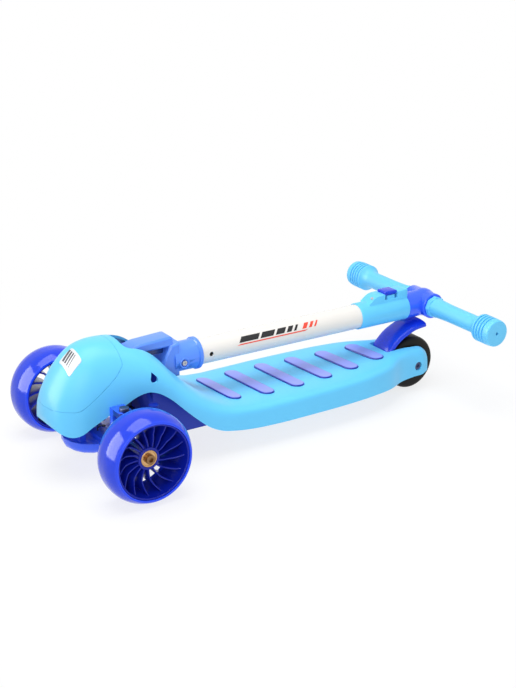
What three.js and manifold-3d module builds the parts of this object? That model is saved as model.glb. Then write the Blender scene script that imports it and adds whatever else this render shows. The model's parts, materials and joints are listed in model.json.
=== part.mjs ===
// Kids scooter with two front wheels and one rear wheel, its column folded down over the deck.
// Millimetres. +X is the way it rides, +Y is the rider's left and +Z is up.
// The front axle lies over x = 0 and the ground is z = 0 until the last lines centre the whole.

import * as THREE from 'three';
import { mergeVertices } from 'three/addons/utils/BufferGeometryUtils.js';
import Module from 'manifold-3d';

const wasm = await Module();
wasm.setup();

// Driving dimensions: the whole scooter
const wheelbase = 507.5;
const trackWidth = 256;
const frontWheelRadius = 60;
const frontWheelWidth = 50;
const rearWheelRadius = 39.5;
const rearWheelWidth = 38;
const deckHalfWidth = 78;
const deckHeight = 68.8;
const cowlHeight = 172;
const noseReach = 76;
const forkReach = 20.5;
const tailReach = wheelbase + forkReach;
const stemHeight = 124;
const stemDiameter = 35;
const foldPinHeight = 140;
const foldPinSetback = 48;
const foldRange = 84;
const barSetback = 538;
const barHalfWidth = 163;
const leanHeight = 110;
const kingpinHalfTrack = 76;
const steeringArm = 42;
const tieRodHeight = 74;

// Clearances and shared small sizes
const gap = 0.3;
const runningGap = 0.4;
const linkGap = 1;
const overrun = 5;
const wall = 3.5;
const pinDiameter = 5;
const axleDiameter = 8;
const bearingDiameter = 22;
const bearingWidth = 7;
const roundSteps = 24;
const pinSteps = 12;
const tubeSteps = 16;
const wheelSteps = 32;
const hubSteps = 16;
const cornerSteps = 3;
const treadCornerSteps = 2;

// Closed solids are joined and cut here; every helper works on such solids.
function solid(geometry) {
  const bare = geometry.clone();
  bare.deleteAttribute('normal');
  bare.deleteAttribute('uv');
  const merged = mergeVertices(bare);
  const points = Float32Array.from(merged.attributes.position.array);
  const triangles = [];
  let volume = 0;
  const at = (index) => new THREE.Vector3().fromArray(points, 3 * index);
  for (let i = 0; i < merged.index.count; i += 3) {
    const [a, b, c] = [0, 1, 2].map((k) => merged.index.getX(i + k));
    if (a === b || b === c || c === a) continue;
    triangles.push([a, b, c]);
    volume += at(a).dot(at(b).cross(at(c)));
  }
  const outward = volume > 0 ? triangles : triangles.map(([a, b, c]) => [a, c, b]);
  const mesh = new wasm.Mesh({
    numProp: 3,
    vertProperties: points,
    triVerts: Uint32Array.from(outward.flat()),
  });
  return new wasm.Manifold(mesh);
}

function joined(first, ...others) {
  return others.reduce((whole, part) => whole.add(part), first);
}

function cut(first, ...others) {
  return others.reduce((whole, part) => whole.subtract(part), first);
}

// A finished solid set down at a place, or seen in a mirror across the middle plane y = 0.
function transformed(body, matrix) {
  const raw = body.getMesh();
  const geometry = new THREE.BufferGeometry();
  geometry.setAttribute('position', new THREE.Float32BufferAttribute(raw.vertProperties, raw.numProp));
  geometry.setIndex(Array.from(raw.triVerts));
  geometry.applyMatrix4(matrix);
  return solid(geometry);
}

function moved(body, x, y, z) {
  return transformed(body, new THREE.Matrix4().makeTranslation(x, y, z));
}

function mirrored(body) {
  return transformed(body, new THREE.Matrix4().makeScale(1, -1, 1));
}

// Axis letters: a turned or extruded form is made round Y or along Z and then laid along its axis.
function laid(geometry, axis, made) {
  if (made === 'turned' && axis === 'x') geometry.rotateZ(-Math.PI / 2);
  if (made === 'turned' && axis === 'z') geometry.rotateX(Math.PI / 2);
  if (made === 'extruded' && axis === 'y') geometry.rotateX(Math.PI / 2);
  if (made === 'extruded' && axis === 'x') {
    const [x, y, z] = [[0, 1, 0], [0, 0, 1], [1, 0, 0]].map((a) => new THREE.Vector3(...a));
    geometry.applyMatrix4(new THREE.Matrix4().makeBasis(x, y, z));
  }
  return geometry;
}

// A revolved profile of [radius, place along the axis], closed on the axis or on itself.
function turned(profile, axis, steps = roundSteps) {
  const points = profile.map(([radius, along]) => new THREE.Vector2(radius, along));
  return solid(laid(new THREE.LatheGeometry(points, steps), axis, 'turned'));
}

function rod(radius, from, to, axis, steps = roundSteps) {
  return turned([[0, from], [radius, from], [radius, to], [0, to]], axis, steps);
}

function ring(outer, inner, from, to, axis, steps = roundSteps) {
  return turned([[inner, from], [outer, from], [outer, to], [inner, to], [inner, from]], axis, steps);
}

// An outline from corners [a, b, rounding], each corner rounded where a rounding is given.
function outline(corners) {
  const shape = new THREE.Shape();
  const count = corners.length;
  corners.forEach(([a, b, rounding = 0], i) => {
    const corner = new THREE.Vector2(a, b);
    const [before, after] = [corners[(i + count - 1) % count], corners[(i + 1) % count]];
    const back = new THREE.Vector2(before[0], before[1]).sub(corner).setLength(rounding).add(corner);
    const ahead = new THREE.Vector2(after[0], after[1]).sub(corner).setLength(rounding).add(corner);
    if (i === 0) shape.moveTo(back.x, back.y);
    else shape.lineTo(back.x, back.y);
    if (rounding > 0) shape.quadraticCurveTo(corner.x, corner.y, ahead.x, ahead.y);
  });
  return shape;
}

function rectangle(a0, b0, a1, b1, rounding = 0) {
  return outline([[a0, b0, rounding], [a1, b0, rounding], [a1, b1, rounding], [a0, b1, rounding]]);
}

// A prism of an outline drawn in (x, y), (x, z) or (y, z), along the axis that is left over.
function prism(shape, from, to, axis, edge = 0) {
  const geometry = new THREE.ExtrudeGeometry(shape, {
    depth: to - from - 2 * edge,
    bevelEnabled: edge > 0,
    bevelThickness: edge,
    bevelSize: edge,
    bevelOffset: -edge,
    bevelSegments: 1,
    curveSegments: cornerSteps,
  });
  geometry.translate(0, 0, axis === 'y' ? edge - to : from + edge);
  return solid(laid(geometry, axis, 'extruded'));
}

function block(x0, y0, z0, x1, y1, z1) {
  return prism(rectangle(x0, y0, x1, y1), z0, z1, 'z');
}

// A closed skin through rings of [x, y, z] points, each ring convex and of one count. Its facets
// are split along mirrored diagonals, so both halves of a symmetric form match.
function lofted(rings) {
  const positions = rings.flat(2);
  const count = rings[0].length;
  const index = [];
  for (let r = 0; r + 1 < rings.length; r += 1) {
    for (let i = 0; i < count; i += 1) {
      const [a, b] = [r * count + i, r * count + ((i + 1) % count)];
      if (i < (count - 1) / 2) index.push(a, b, b + count, a, b + count, a + count);
      else index.push(a, b, a + count, b, b + count, a + count);
    }
  }
  const last = (rings.length - 1) * count;
  for (let i = 1; i + 1 < count; i += 1) {
    index.push(0, i + 1, i, last, last + i, last + i + 1);
  }
  const geometry = new THREE.BufferGeometry();
  geometry.setAttribute('position', new THREE.Float32BufferAttribute(positions, 3));
  geometry.setIndex(index);
  return solid(geometry);
}

// Materials, by finish
function finish(color, roughness, metalness) {
  return new THREE.MeshStandardMaterial({ color, roughness, metalness });
}
const skyPlastic = finish(0x62cdfa, 0.42, 0);
const navyPlastic = finish(0x1f2a8c, 0.5, 0);
const royalPlastic = finish(0x2743e6, 0.22, 0);
const elbowPlastic = finish(0x5a96f5, 0.4, 0);
const clearBlueTread = finish(0x2a35dc, 0.15, 0);
const clearBlueHub = finish(0x1a22b4, 0.2, 0);
const lavenderRubber = finish(0x9a9cff, 0.6, 0);
const blackRubber = finish(0x16130f, 0.6, 0);
const whitePaint = finish(0xf1ede6, 0.3, 0.1);
const steel = finish(0xb9bcc2, 0.35, 0.9);
const bronze = finish(0xc08d4e, 0.35, 0.8);

// Groups hold the pieces: the column turns with its own frame, the wheels with theirs.
const scooter = new THREE.Group();

function piece(name, body, material, group = scooter) {
  const raw = body.asOriginal().getMesh();
  const geometry = new THREE.BufferGeometry();
  geometry.setAttribute('position', new THREE.Float32BufferAttribute(raw.vertProperties, raw.numProp));
  geometry.setIndex(Array.from(raw.triVerts));
  geometry.computeVertexNormals();
  const mesh = new THREE.Mesh(geometry, material);
  mesh.name = name;
  group.add(mesh);
  return mesh;
}

// Deck and cowl: one moulding whose cross sections run from the fork to the nose.
// Each row of shares is: place from tail to nose, half width, foot height, crown height, squareness.
const mouldingShares = [
  [0, 0.385, 0.198, 0.349, 3.2],
  [0.013, 0.423, 0.18, 0.378, 3.4],
  [0.046, 0.449, 0.172, 0.395, 3.8],
  [0.096, 0.551, 0.166, 0.395, 4.3],
  [0.146, 0.769, 0.169, 0.384, 4.7],
  [0.212, 0.91, 0.174, 0.372, 5],
  [0.295, 0.974, 0.174, 0.363, 5],
  [0.394, 1, 0.174, 0.36, 5],
  [0.493, 1, 0.174, 0.36, 5],
  [0.56, 0.987, 0.183, 0.366, 4.7],
  [0.601, 0.974, 0.2, 0.39, 4.1],
  [0.634, 0.974, 0.227, 0.442, 3.4],
  [0.667, 0.968, 0.285, 0.523, 3],
  [0.695, 0.962, 0.366, 0.616, 2.7],
  [0.725, 0.942, 0.465, 0.721, 2.5],
  [0.755, 0.897, 0.567, 0.843, 2.4],
  [0.783, 0.833, 0.631, 0.924, 2.35],
  [0.8, 0.795, 0.645, 0.956, 2.3],
  [0.8245, 0.744, 0.622, 0.983, 2.3],
  [0.854, 0.705, 0.564, 1, 2.3],
  [0.891, 0.673, 0.503, 1, 2.3],
  [0.924, 0.641, 0.442, 0.965, 2.3],
  [0.949, 0.596, 0.381, 0.895, 2.3],
  [0.967, 0.526, 0.355, 0.826, 2.3],
  [0.983, 0.449, 0.372, 0.733, 2.2],
  [0.995, 0.308, 0.419, 0.64, 2.2],
  [1, 0.103, 0.488, 0.552, 2],
];
const deckShare = 0.4;
const solidTailRows = 4;
const solidNoseRows = 2;
const sectionSteps = 12;
const openingDrop = 70;

function mouldingX(share) {
  return share * (tailReach + noseReach) - tailReach;
}

// Heights up to the deck's share follow the deck, and those above it the cowl's rise from the deck.
function mouldingZ(share) {
  if (share < deckShare) return (share / deckShare) * deckHeight;
  return deckHeight + ((share - deckShare) / (1 - deckShare)) * (cowlHeight - deckHeight);
}

// One cross section: a superellipse over the foot line, grown outward by a distance.
function mouldingRing([along, halfWidth, foot, crown, squareness], growth, drop) {
  const x = mouldingX(along);
  const [low, high] = [mouldingZ(foot), mouldingZ(crown) + growth];
  const width = halfWidth * deckHalfWidth + growth;
  const points = [];
  for (let i = 0; i <= sectionSteps; i += 1) {
    const angle = (Math.PI * i) / sectionSteps;
    const [c, s] = [Math.cos(angle), Math.max(Math.sin(angle), 0)];
    const y = width * Math.sign(c) * Math.abs(c) ** (2 / squareness);
    points.push([x, y, low + (high - low) * s ** (2 / squareness)]);
  }
  if (drop > 0) points.push([x, -width, low - drop], [x, width, low - drop]);
  return points;
}

function mouldingBody(growth, drop, firstRow, endRow) {
  return lofted(mouldingShares.slice(firstRow, endRow).map((row) => mouldingRing(row, growth, drop)));
}

const mouldingRows = mouldingShares.length;
const mouldingSkin = mouldingBody(0, 0, 0, mouldingRows);
const mouldingHollow = mouldingBody(-wall, openingDrop, solidTailRows, mouldingRows - solidNoseRows);
const mouldingShell = cut(mouldingSkin, mouldingHollow);

// The seam of the nose hood, seen from the side: shares of the nose reach and the cowl height.
const hoodSeamShares = [
  [-0.2, 1.1], [-0.22, 0.87], [-0.105, 0.808], [0, 0.767], [0.2, 0.698], [0.447, 0.616],
  [0.566, 0.578], [0.66, 0.566], [0.87, 0.572], [1.2, 0.58], [1.2, 1.1],
];
const seamWidth = 0.6;

function hoodRegion(shift) {
  const corners = hoodSeamShares.map(([a, b]) => [a * noseReach - shift, b * cowlHeight - shift]);
  return prism(outline(corners), -deckHalfWidth, deckHalfWidth, 'y');
}

// The slot in the cowl's crown that the folding column stands in
const slotRear = 122;
const slotFront = 27;
const slotHalfWidth = 30;
const slotCorner = 14;
const columnSlot = prism(
  rectangle(-slotRear, -slotHalfWidth, -slotFront, slotHalfWidth, slotCorner),
  stemHeight / 2,
  cowlHeight + overrun,
  'z',
);

// Rear fork: the wheel slot, its axle bore and the round recess for the bolt head
const wheelSideGap = 3;
const wheelFrontGap = 10;
const boltHeadRadius = 6.2;
const forkRecessDepth = 5;
const forkHalfWidth = mouldingShares[2][1] * deckHalfWidth;
const forkInner = rearWheelWidth / 2 + wheelSideGap;
const wheelSlotFront = wheelbase - rearWheelRadius - wheelFrontGap;
const wheelSlot = block(
  -tailReach - overrun,
  -forkInner,
  0,
  -wheelSlotFront,
  forkInner,
  cowlHeight,
);
const rearAxleBore = moved(
  rod(axleDiameter / 2 + gap, -deckHalfWidth, deckHalfWidth, 'y', pinSteps),
  -wheelbase,
  0,
  rearWheelRadius,
);
const forkRecesses = [-1, 1].map((side) => {
  const from = forkHalfWidth - forkRecessDepth;
  const recess = rod(boltHeadRadius + gap, from, deckHalfWidth, 'y', pinSteps);
  return moved(side > 0 ? recess : mirrored(recess), -wheelbase, 0, rearWheelRadius);
});

// Ribs that stiffen the deck from below
const ribThickness = 2.2;
const ribLift = 3;
const ribFirst = 203;
const ribPitch = 84;
const ribCount = 3;
const ribSpacing = 26;
const deckRibs = [];
for (let i = 0; i < ribCount; i += 1) {
  const x = -ribFirst - i * ribPitch;
  deckRibs.push(block(x - ribThickness, -deckHalfWidth, 0, x, deckHalfWidth, cowlHeight));
}
for (const side of [-1, 1]) {
  const y = side * ribSpacing;
  const half = ribThickness / 2;
  deckRibs.push(block(-wheelSlotFront, y - half, 0, -ribFirst, y + half, cowlHeight));
}
const ribRoom = moved(mouldingBody(-wall / 2, 0, solidTailRows - 1, mouldingRows), 0, 0, ribLift);
const ribs = joined(...deckRibs).intersect(ribRoom).intersect(mouldingSkin);

// Six rubber grip strips let into the deck top: half lengths as shares of the deck's half width
const stripFirst = 185;
const stripTailRoom = 25.5;
const stripWidth = 19;
const stripPocket = 2;
const stripProud = 0.8;
const stripHalfShares = [0.56, 0.64, 0.64, 0.6, 0.53, 0.45];
const stripSlant = 3;
const stripPitch = (wheelSlotFront - stripTailRoom - stripFirst) / (stripHalfShares.length - 1);

function stripShape(i, growth) {
  const [x, r] = [-stripFirst - i * stripPitch, stripWidth / 2 + growth];
  const half = stripHalfShares[i] * deckHalfWidth + growth;
  const corners = [
    [x - r - stripSlant, half, r],
    [x - r + stripSlant, -half, r],
    [x + r + stripSlant, -half, r],
    [x + r - stripSlant, half, r],
  ];
  return prism(outline(corners), deckHalfWidth / 2, cowlHeight, 'z');
}

const pocketFloor = mouldingBody(-stripPocket, openingDrop, 1, mouldingRows);
const stripBed = mouldingBody(gap - stripPocket, openingDrop, 1, mouldingRows);
const stripTop = mouldingBody(stripProud, 0, 0, mouldingRows);

// Fender hinge: its pin crosses the wheel slot just behind the slot's front wall
const fenderPinRadius = pinDiameter / 2;
const fenderKnuckleRadius = 5;
const fenderHingeX = wheelSlotFront + fenderKnuckleRadius + runningGap;
const fenderHingeZ = 58;
const fenderPinSeat = 5;
const fenderPinHole = moved(
  rod(fenderPinRadius + gap, -forkInner - fenderPinSeat, forkInner + fenderPinSeat, 'y', pinSteps),
  -fenderHingeX,
  0,
  fenderHingeZ,
);

// Drop-shaped holes in both shoulders of the cowl, for a spanner on the fold pin
const dropSetback = 52;
const dropHeight = 128;
const dropRadius = 4.3;
const dropTip = 7.5;
const dropInner = 30;
const shoulderHole = prism(
  outline([
    [-dropSetback - dropRadius, dropHeight - dropRadius, dropRadius - gap],
    [-dropSetback + dropRadius, dropHeight - dropRadius, dropRadius - gap],
    [-dropSetback + dropRadius, dropHeight + dropRadius / 2],
    [-dropSetback + dropRadius / 2, dropHeight + dropTip],
    [-dropSetback - dropRadius, dropHeight + dropRadius / 2],
  ]),
  dropInner,
  deckHalfWidth,
  'y',
);

const pockets = stripHalfShares.map((share, i) => cut(stripShape(i, gap), pocketFloor));
const deckCowl = cut(
  joined(mouldingShell, ribs),
  hoodRegion(seamWidth / 2),
  columnSlot,
  wheelSlot,
  rearAxleBore,
  ...forkRecesses,
  fenderPinHole,
  shoulderHole,
  mirrored(shoulderHole),
  ...pockets,
);
piece('deck_cowl', deckCowl, skyPlastic);
piece('nose_hood', mouldingShell.intersect(hoodRegion(0)), skyPlastic);
stripHalfShares.forEach((share, i) => {
  const strip = cut(stripShape(i, 0).intersect(stripTop), stripBed);
  piece(`grip_strip_${i + 1}`, strip, lavenderRubber);
});

// Navy under-body: a channel under the cowl with a bulkhead that carries the lean shaft
const frameRear = 190;
const bulkheadRear = 60;
const bulkheadFront = 55;
const frameHalfWidth = 42;
const frameFloor = 35;
const frameWall = 4.5;
const bulkheadShoulder = 88;
const shaftBossRadius = 10;
const shaftRadius = axleDiameter / 2;
const frameEnvelope = mouldingBody(-wall - gap, openingDrop, solidTailRows, mouldingRows - 1);
const bulkheadCorners = [
  [-frameHalfWidth, frameFloor],
  [frameHalfWidth, frameFloor],
  [frameHalfWidth, bulkheadShoulder],
  [shaftBossRadius, leanHeight + shaftBossRadius, shaftBossRadius],
  [-shaftBossRadius, leanHeight + shaftBossRadius, shaftBossRadius],
  [-frameHalfWidth, bulkheadShoulder],
];
const frameBox = block(
  -frameRear, -frameHalfWidth, frameFloor, -bulkheadFront, frameHalfWidth, cowlHeight,
);
const frameRoom = block(
  -frameRear - overrun,
  frameWall - frameHalfWidth,
  frameFloor + frameWall,
  -bulkheadRear,
  frameHalfWidth - frameWall,
  cowlHeight + overrun,
);
const bulkheadRoom = block(
  -bulkheadRear, -deckHalfWidth, 0, overrun, deckHalfWidth, cowlHeight + overrun,
);
const bulkhead = prism(outline(bulkheadCorners), -bulkheadRear - gap, -bulkheadFront, 'x');
const shaftBore = moved(rod(shaftRadius + gap, -tailReach, noseReach, 'x', pinSteps), 0, 0, leanHeight);
const baseFrame = cut(
  joined(cut(frameBox, frameRoom, bulkheadRoom), bulkhead).intersect(frameEnvelope),
  shaftBore,
);
piece('base_frame', baseFrame, navyPlastic);

// Front axle carrier: a rounded tray, a beam, and a fork with two lugs at each end
const trayCentre = 10;
const trayReach = 38;
const trayHalfWidth = 40;
const trayLow = 30;
const trayHigh = 46;
const trayDish = 4;
const trayShares = [[0, 0.78], [0.25, 0.93], [0.6, 1], [1, 1]];
const traySteps = 16;
const beamHalf = 12;
const beamLow = 34;
const beamHigh = 50;
const lugHalf = 10;
const lugTip = 10;
const webInner = 56;
const webOuter = 64;
const lowerLugTop = 43;
const upperLugLow = 93;
const upperLugTop = 101;
const flangeHalfWidth = 30;
const flangeLow = 38;
const flangeHigh = 62;
const flangeThickness = 4;
const postFront = 32;
const postRear = 24;
const postFoot = 14;

const trayRings = trayShares.map(([level, spread]) => {
  const points = [];
  for (let i = 0; i < traySteps; i += 1) {
    const angle = (2 * Math.PI * i) / traySteps;
    const x = trayCentre + trayReach * spread * Math.cos(angle);
    const y = trayHalfWidth * spread * Math.sin(angle);
    points.push([x, y, trayLow + (trayHigh - trayLow) * level]);
  }
  return points;
});
const trayHollow = moved(lofted(trayRings), 0, 0, trayHigh - trayLow - trayDish);
const flangeFace = -bulkheadFront + gap;
const lugOutline = rectangle(-lugHalf, webInner, lugHalf, kingpinHalfTrack + lugTip, lugHalf - gap);
const carrierFork = joined(
  block(-lugHalf, webInner, beamLow, lugHalf, webOuter, upperLugTop),
  prism(lugOutline, beamLow, lowerLugTop, 'z'),
  prism(lugOutline, upperLugLow, upperLugTop, 'z'),
);
const kingpinBore = moved(rod(shaftRadius + gap, 0, cowlHeight, 'z', pinSteps), 0, kingpinHalfTrack, 0);
const drilledFork = cut(carrierFork, kingpinBore);
const shaftPost = prism(
  outline([
    [-postFoot, beamHigh - trayDish - gap],
    [postFoot, beamHigh - trayDish - gap],
    [shaftBossRadius, leanHeight + shaftBossRadius, shaftBossRadius],
    [-shaftBossRadius, leanHeight + shaftBossRadius, shaftBossRadius],
  ]),
  postRear,
  postFront,
  'x',
);
const axleCarrier = joined(
  cut(lofted(trayRings), trayHollow.intersect(block(
    beamHalf, -trayHalfWidth, trayHigh - trayDish, noseReach, trayHalfWidth, cowlHeight,
  ))),
  block(-beamHalf, -webOuter, beamLow, beamHalf, webOuter, beamHigh),
  block(flangeFace, -flangeHalfWidth, flangeLow, 0, flangeHalfWidth, trayHigh),
  block(flangeFace, -flangeHalfWidth, flangeLow, flangeFace + flangeThickness, flangeHalfWidth, flangeHigh),
  cut(
    joined(shaftPost, block(postRear, -postFoot, flangeLow, postFront, postFoot, trayHigh)),
    shaftBore,
  ),
  drilledFork,
  mirrored(drilledFork),
);
piece('axle_carrier', axleCarrier, royalPlastic);

// Bolts are revolved: a shank between a head and a nut
const boltHead = 4.5;
const boltFlange = 6.5;
function bolt(shank, headRadius, headHeight, from, to, axis) {
  const profile = [
    [0, from - headHeight], [headRadius, from - headHeight], [headRadius, from], [shank, from],
    [shank, to], [headRadius, to], [headRadius, to + headHeight], [0, to + headHeight],
  ];
  return turned(profile, axis, pinSteps);
}
for (const [name, side] of [['kingpin_left', 1], ['kingpin_right', -1]]) {
  const kingpin = bolt(shaftRadius, boltFlange, boltHead, beamLow - gap, upperLugTop + gap, 'z');
  piece(name, kingpin, steel).position.y = side * kingpinHalfTrack;
}
const leanShaft = bolt(shaftRadius, boltFlange, boltHead, -bulkheadRear - 2 * gap, postFront + gap, 'x');
piece('lean_shaft', leanShaft, steel).position.z = leanHeight;

// Steering head: it leans on the lean shaft, holds the fold pin and drives the tie rod
const headHalfWidth = 18.9;
const headLow = 97;
const headTop = 123;
const cheekInner = 14.4;
const foldHubRadius = 13;
const cheekTop = 152;
const leverPinSetback = 66;
const leverPinHeight = 124;
const leverPinRadius = 1.5;
const leverBoss = 4;
const dropBall = 4;
const dropBallHeight = 80;
const dropNeck = 2.4;
const dropHalf = 5;
const dropX = -steeringArm;
const headFront = postRear - runningGap;
const headRear = -bulkheadFront + runningGap;
const cheekCorners = [
  [headFront, headLow, dropBall],
  [headFront, headTop, shaftBossRadius],
  [-foldPinSetback / 2, headTop, shaftBossRadius],
  [-foldPinSetback + foldHubRadius, cheekTop, shaftBossRadius],
  [-foldPinSetback - foldHubRadius, cheekTop, shaftBossRadius],
  [-leverPinSetback - leverBoss, leverPinHeight + leverBoss, leverBoss],
  [-leverPinSetback - leverBoss, leverPinHeight - leverBoss, leverBoss],
  [headRear, leverPinHeight - leverBoss, 0],
  [headRear, headLow, dropBall],
];
const headBetween = block(
  -tailReach, -cheekInner, headTop, noseReach, cheekInner, cheekTop + overrun,
);
const dropArm = prism(
  outline([
    [-headHalfWidth / 2, headLow + overrun],
    [headHalfWidth / 2, headLow + overrun],
    [dropNeck, dropBallHeight + dropBall],
    [dropNeck, dropBallHeight],
    [-dropNeck, dropBallHeight],
    [-dropNeck, dropBallHeight + dropBall],
  ]),
  dropX - dropHalf,
  dropX + dropHalf,
  'x',
);
const foldPinRadius = shaftRadius;
const foldPinBore = moved(
  rod(foldPinRadius + gap, -deckHalfWidth, deckHalfWidth, 'y', pinSteps),
  -foldPinSetback,
  0,
  foldPinHeight,
);
const leverPinBore = moved(
  rod(leverPinRadius + gap, -deckHalfWidth, deckHalfWidth, 'y', pinSteps),
  -leverPinSetback,
  0,
  leverPinHeight,
);
const leverRoom = block(
  -tailReach, -cheekInner, headTop - 2 * leverBoss, headRear - gap, cheekInner, cheekTop + overrun,
);
const steeringHead = cut(
  joined(
    cut(
      prism(outline(cheekCorners), -headHalfWidth, headHalfWidth, 'y'),
      headBetween,
      leverRoom,
    ),
    dropArm,
    moved(rod(dropBall, dropX - dropHalf, dropX + dropHalf, 'x', pinSteps), 0, 0, dropBallHeight),
  ),
  shaftBore,
  foldPinBore,
  leverPinBore,
);
piece('steering_head', steeringHead, royalPlastic);
const foldPinHead = 2.5;
const foldPinFace = headHalfWidth + gap;
const foldPin = bolt(foldPinRadius, boltHeadRadius, foldPinHead, -foldPinFace, foldPinFace, 'y');
piece('fold_pin', foldPin, steel).position.set(-foldPinSetback, 0, foldPinHeight);
piece('lever_pin', rod(leverPinRadius, -headHalfWidth, headHalfWidth, 'y', pinSteps), steel)
  .position.set(-leverPinSetback, 0, leverPinHeight);

// Two coil springs between the axle carrier and the steering head bring it back upright.
const springRadius = 5;
const springWire = 1.1;
const springTurns = 5;
const springSpread = 11;
const springSteps = 8;
const springSides = 5;
const gaugeSteps = 40;
class Coil extends THREE.Curve {
  constructor(radius, turns, from, to) {
    super();
    Object.assign(this, { radius, turns, from, to });
  }

  getPoint(t, target = new THREE.Vector3()) {
    const angle = 2 * Math.PI * this.turns * t;
    const z = this.from + (this.to - this.from) * t;
    return target.set(this.radius * Math.cos(angle), this.radius * Math.sin(angle), z);
  }
}

// The least room between one turn of a wire and the next, measured on points along it
function leastTurnGap(path, wire, turns) {
  const points = path.getPoints(turns * gaugeSteps);
  let least = Infinity;
  points.forEach((point, i) => {
    for (const other of points.slice(i + gaugeSteps / 2)) {
      least = Math.min(least, point.distanceTo(other) - 2 * wire);
    }
  });
  return least;
}

function coil(label, radius, wire, turns, from, to, axis) {
  const corners = Array.from({ length: springSides }, (unused, i) => {
    const angle = (2 * Math.PI * i) / springSides;
    return new THREE.Vector2(wire * Math.cos(angle), wire * Math.sin(angle));
  });
  const path = new Coil(radius, turns, from, to);
  const geometry = new THREE.ExtrudeGeometry(new THREE.Shape(corners), {
    steps: turns * springSteps,
    extrudePath: path,
  });
  console.log(`${label}: its turns lie ${leastTurnGap(path, wire, turns).toFixed(2)} mm apart`);
  return solid(laid(geometry, axis, 'extruded'));
}
const springFoot = beamHigh + gap + springWire;
const springHead = headLow - gap - springWire;
const centringSpring = coil(
  'centring spring', springRadius, springWire, springTurns, springFoot, springHead, 'z',
);
for (const [name, side] of [['centring_spring_left', 1], ['centring_spring_right', -1]]) {
  piece(name, centringSpring, steel).position.y = side * springSpread;
}

// Tie rod: an eye round each knuckle's pin and two ears either side of the head's drop arm
const rodHalf = 4;
const eyeRadius = 7;
const knucklePinRadius = pinDiameter / 2;
const earThickness = 4;
const earHeight = 8;
const rodTop = tieRodHeight;
const tieLow = rodTop - 2 * rodHalf;
const earInner = dropBall + runningGap;
const tieEye = moved(
  ring(eyeRadius, knucklePinRadius + linkGap, tieLow, rodTop, 'z', pinSteps), 0, kingpinHalfTrack, 0,
);
const tieEar = block(-dropHalf, earInner, tieLow, dropHalf, earInner + earThickness, rodTop + earHeight);
const tieBarHalf = kingpinHalfTrack - eyeRadius + gap;
const tieBar = block(-rodHalf, -tieBarHalf, tieLow, rodHalf, tieBarHalf, rodTop);
const tieRod = joined(tieBar, tieEye, mirrored(tieEye), tieEar, mirrored(tieEar));
piece('tie_rod', tieRod, steel).position.x = dropX;

// Knuckles turn on the kingpins; each carries its wheel's axle bolt and a steering arm to the rear.
const barrelRadius = 9;
const stubRadius = 8;
const stubReach = 24;
const noseRadius = 6;
const armHalf = 5;
const armLow = 84;
const armHigh = 92;
const bossRadius = 6.5;
const bossHigh = 100;
const bearingSetIn = 22;
const innerBearingFace = trackWidth / 2 - bearingSetIn - kingpinHalfTrack;
const bossLow = rodTop + linkGap;
const axleSeat = 4;
const knuckleBody = cut(
  joined(
    ring(barrelRadius, shaftRadius + runningGap, lowerLugTop + gap, upperLugLow - gap, 'z', pinSteps),
    moved(
      turned([
        [0, shaftRadius + linkGap], [stubRadius, shaftRadius + linkGap], [stubRadius, stubReach],
        [noseRadius, stubReach + linkGap], [noseRadius, innerBearingFace - gap], [0, innerBearingFace - gap],
      ], 'y', pinSteps),
      0,
      0,
      frontWheelRadius,
    ),
    block(-steeringArm, -armHalf, armLow, -barrelRadius + linkGap, armHalf, armHigh),
    moved(rod(bossRadius, bossLow, bossHigh, 'z', pinSteps), -steeringArm, 0, 0),
    moved(rod(knucklePinRadius, tieLow - linkGap, bossLow, 'z', pinSteps), -steeringArm, 0, 0),
  ),
  moved(
    rod(shaftRadius + gap, barrelRadius + axleSeat - gap, frontWheelWidth, 'y', pinSteps),
    0,
    0,
    frontWheelRadius,
  ),
);
const outerBearingFace = 10.7;
const axleEnd = trackWidth / 2 + outerBearingFace - kingpinHalfTrack + gap;
const axleBolt = turned([
  [0, barrelRadius + axleSeat], [shaftRadius, barrelRadius + axleSeat], [shaftRadius, axleEnd],
  [boltHeadRadius, axleEnd], [boltHeadRadius, axleEnd + boltHead], [0, axleEnd + boltHead],
], 'y', pinSteps);

// Front wheel: a wide tread ring on a see-through hub whose curved fins run from boss to rim
const treadBore = 50;
const treadLip = 2.5;
const treadSlope = 12;
const treadRounding = 9;
const rimInner = 47.2;
const rimHalfWidth = 23.5;
const bossOuter = 15;
const finCount = 16;
const finThickness = 2.8;
const finSwirl = 0.3;
const finBend = 1.5;
const finLow = -20;
const finBossHigh = 9;
const finMiddleHigh = 7;
const finRimHigh = 15;
const finRings = 3;

function turnedOutline(corners, axis, steps) {
  const points = outline(corners).getPoints(treadCornerSteps).map((p) => [p.x, p.y]);
  return turned([...points, points[0]], axis, steps);
}
const halfTread = frontWheelWidth / 2;
const tread = turnedOutline([
  [treadBore, -halfTread],
  [treadBore + treadLip, -halfTread],
  [frontWheelRadius, treadSlope - halfTread, treadRounding],
  [frontWheelRadius, halfTread - treadSlope, treadRounding],
  [treadBore + treadLip, halfTread],
  [treadBore, halfTread],
], 'y', wheelSteps);

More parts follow.
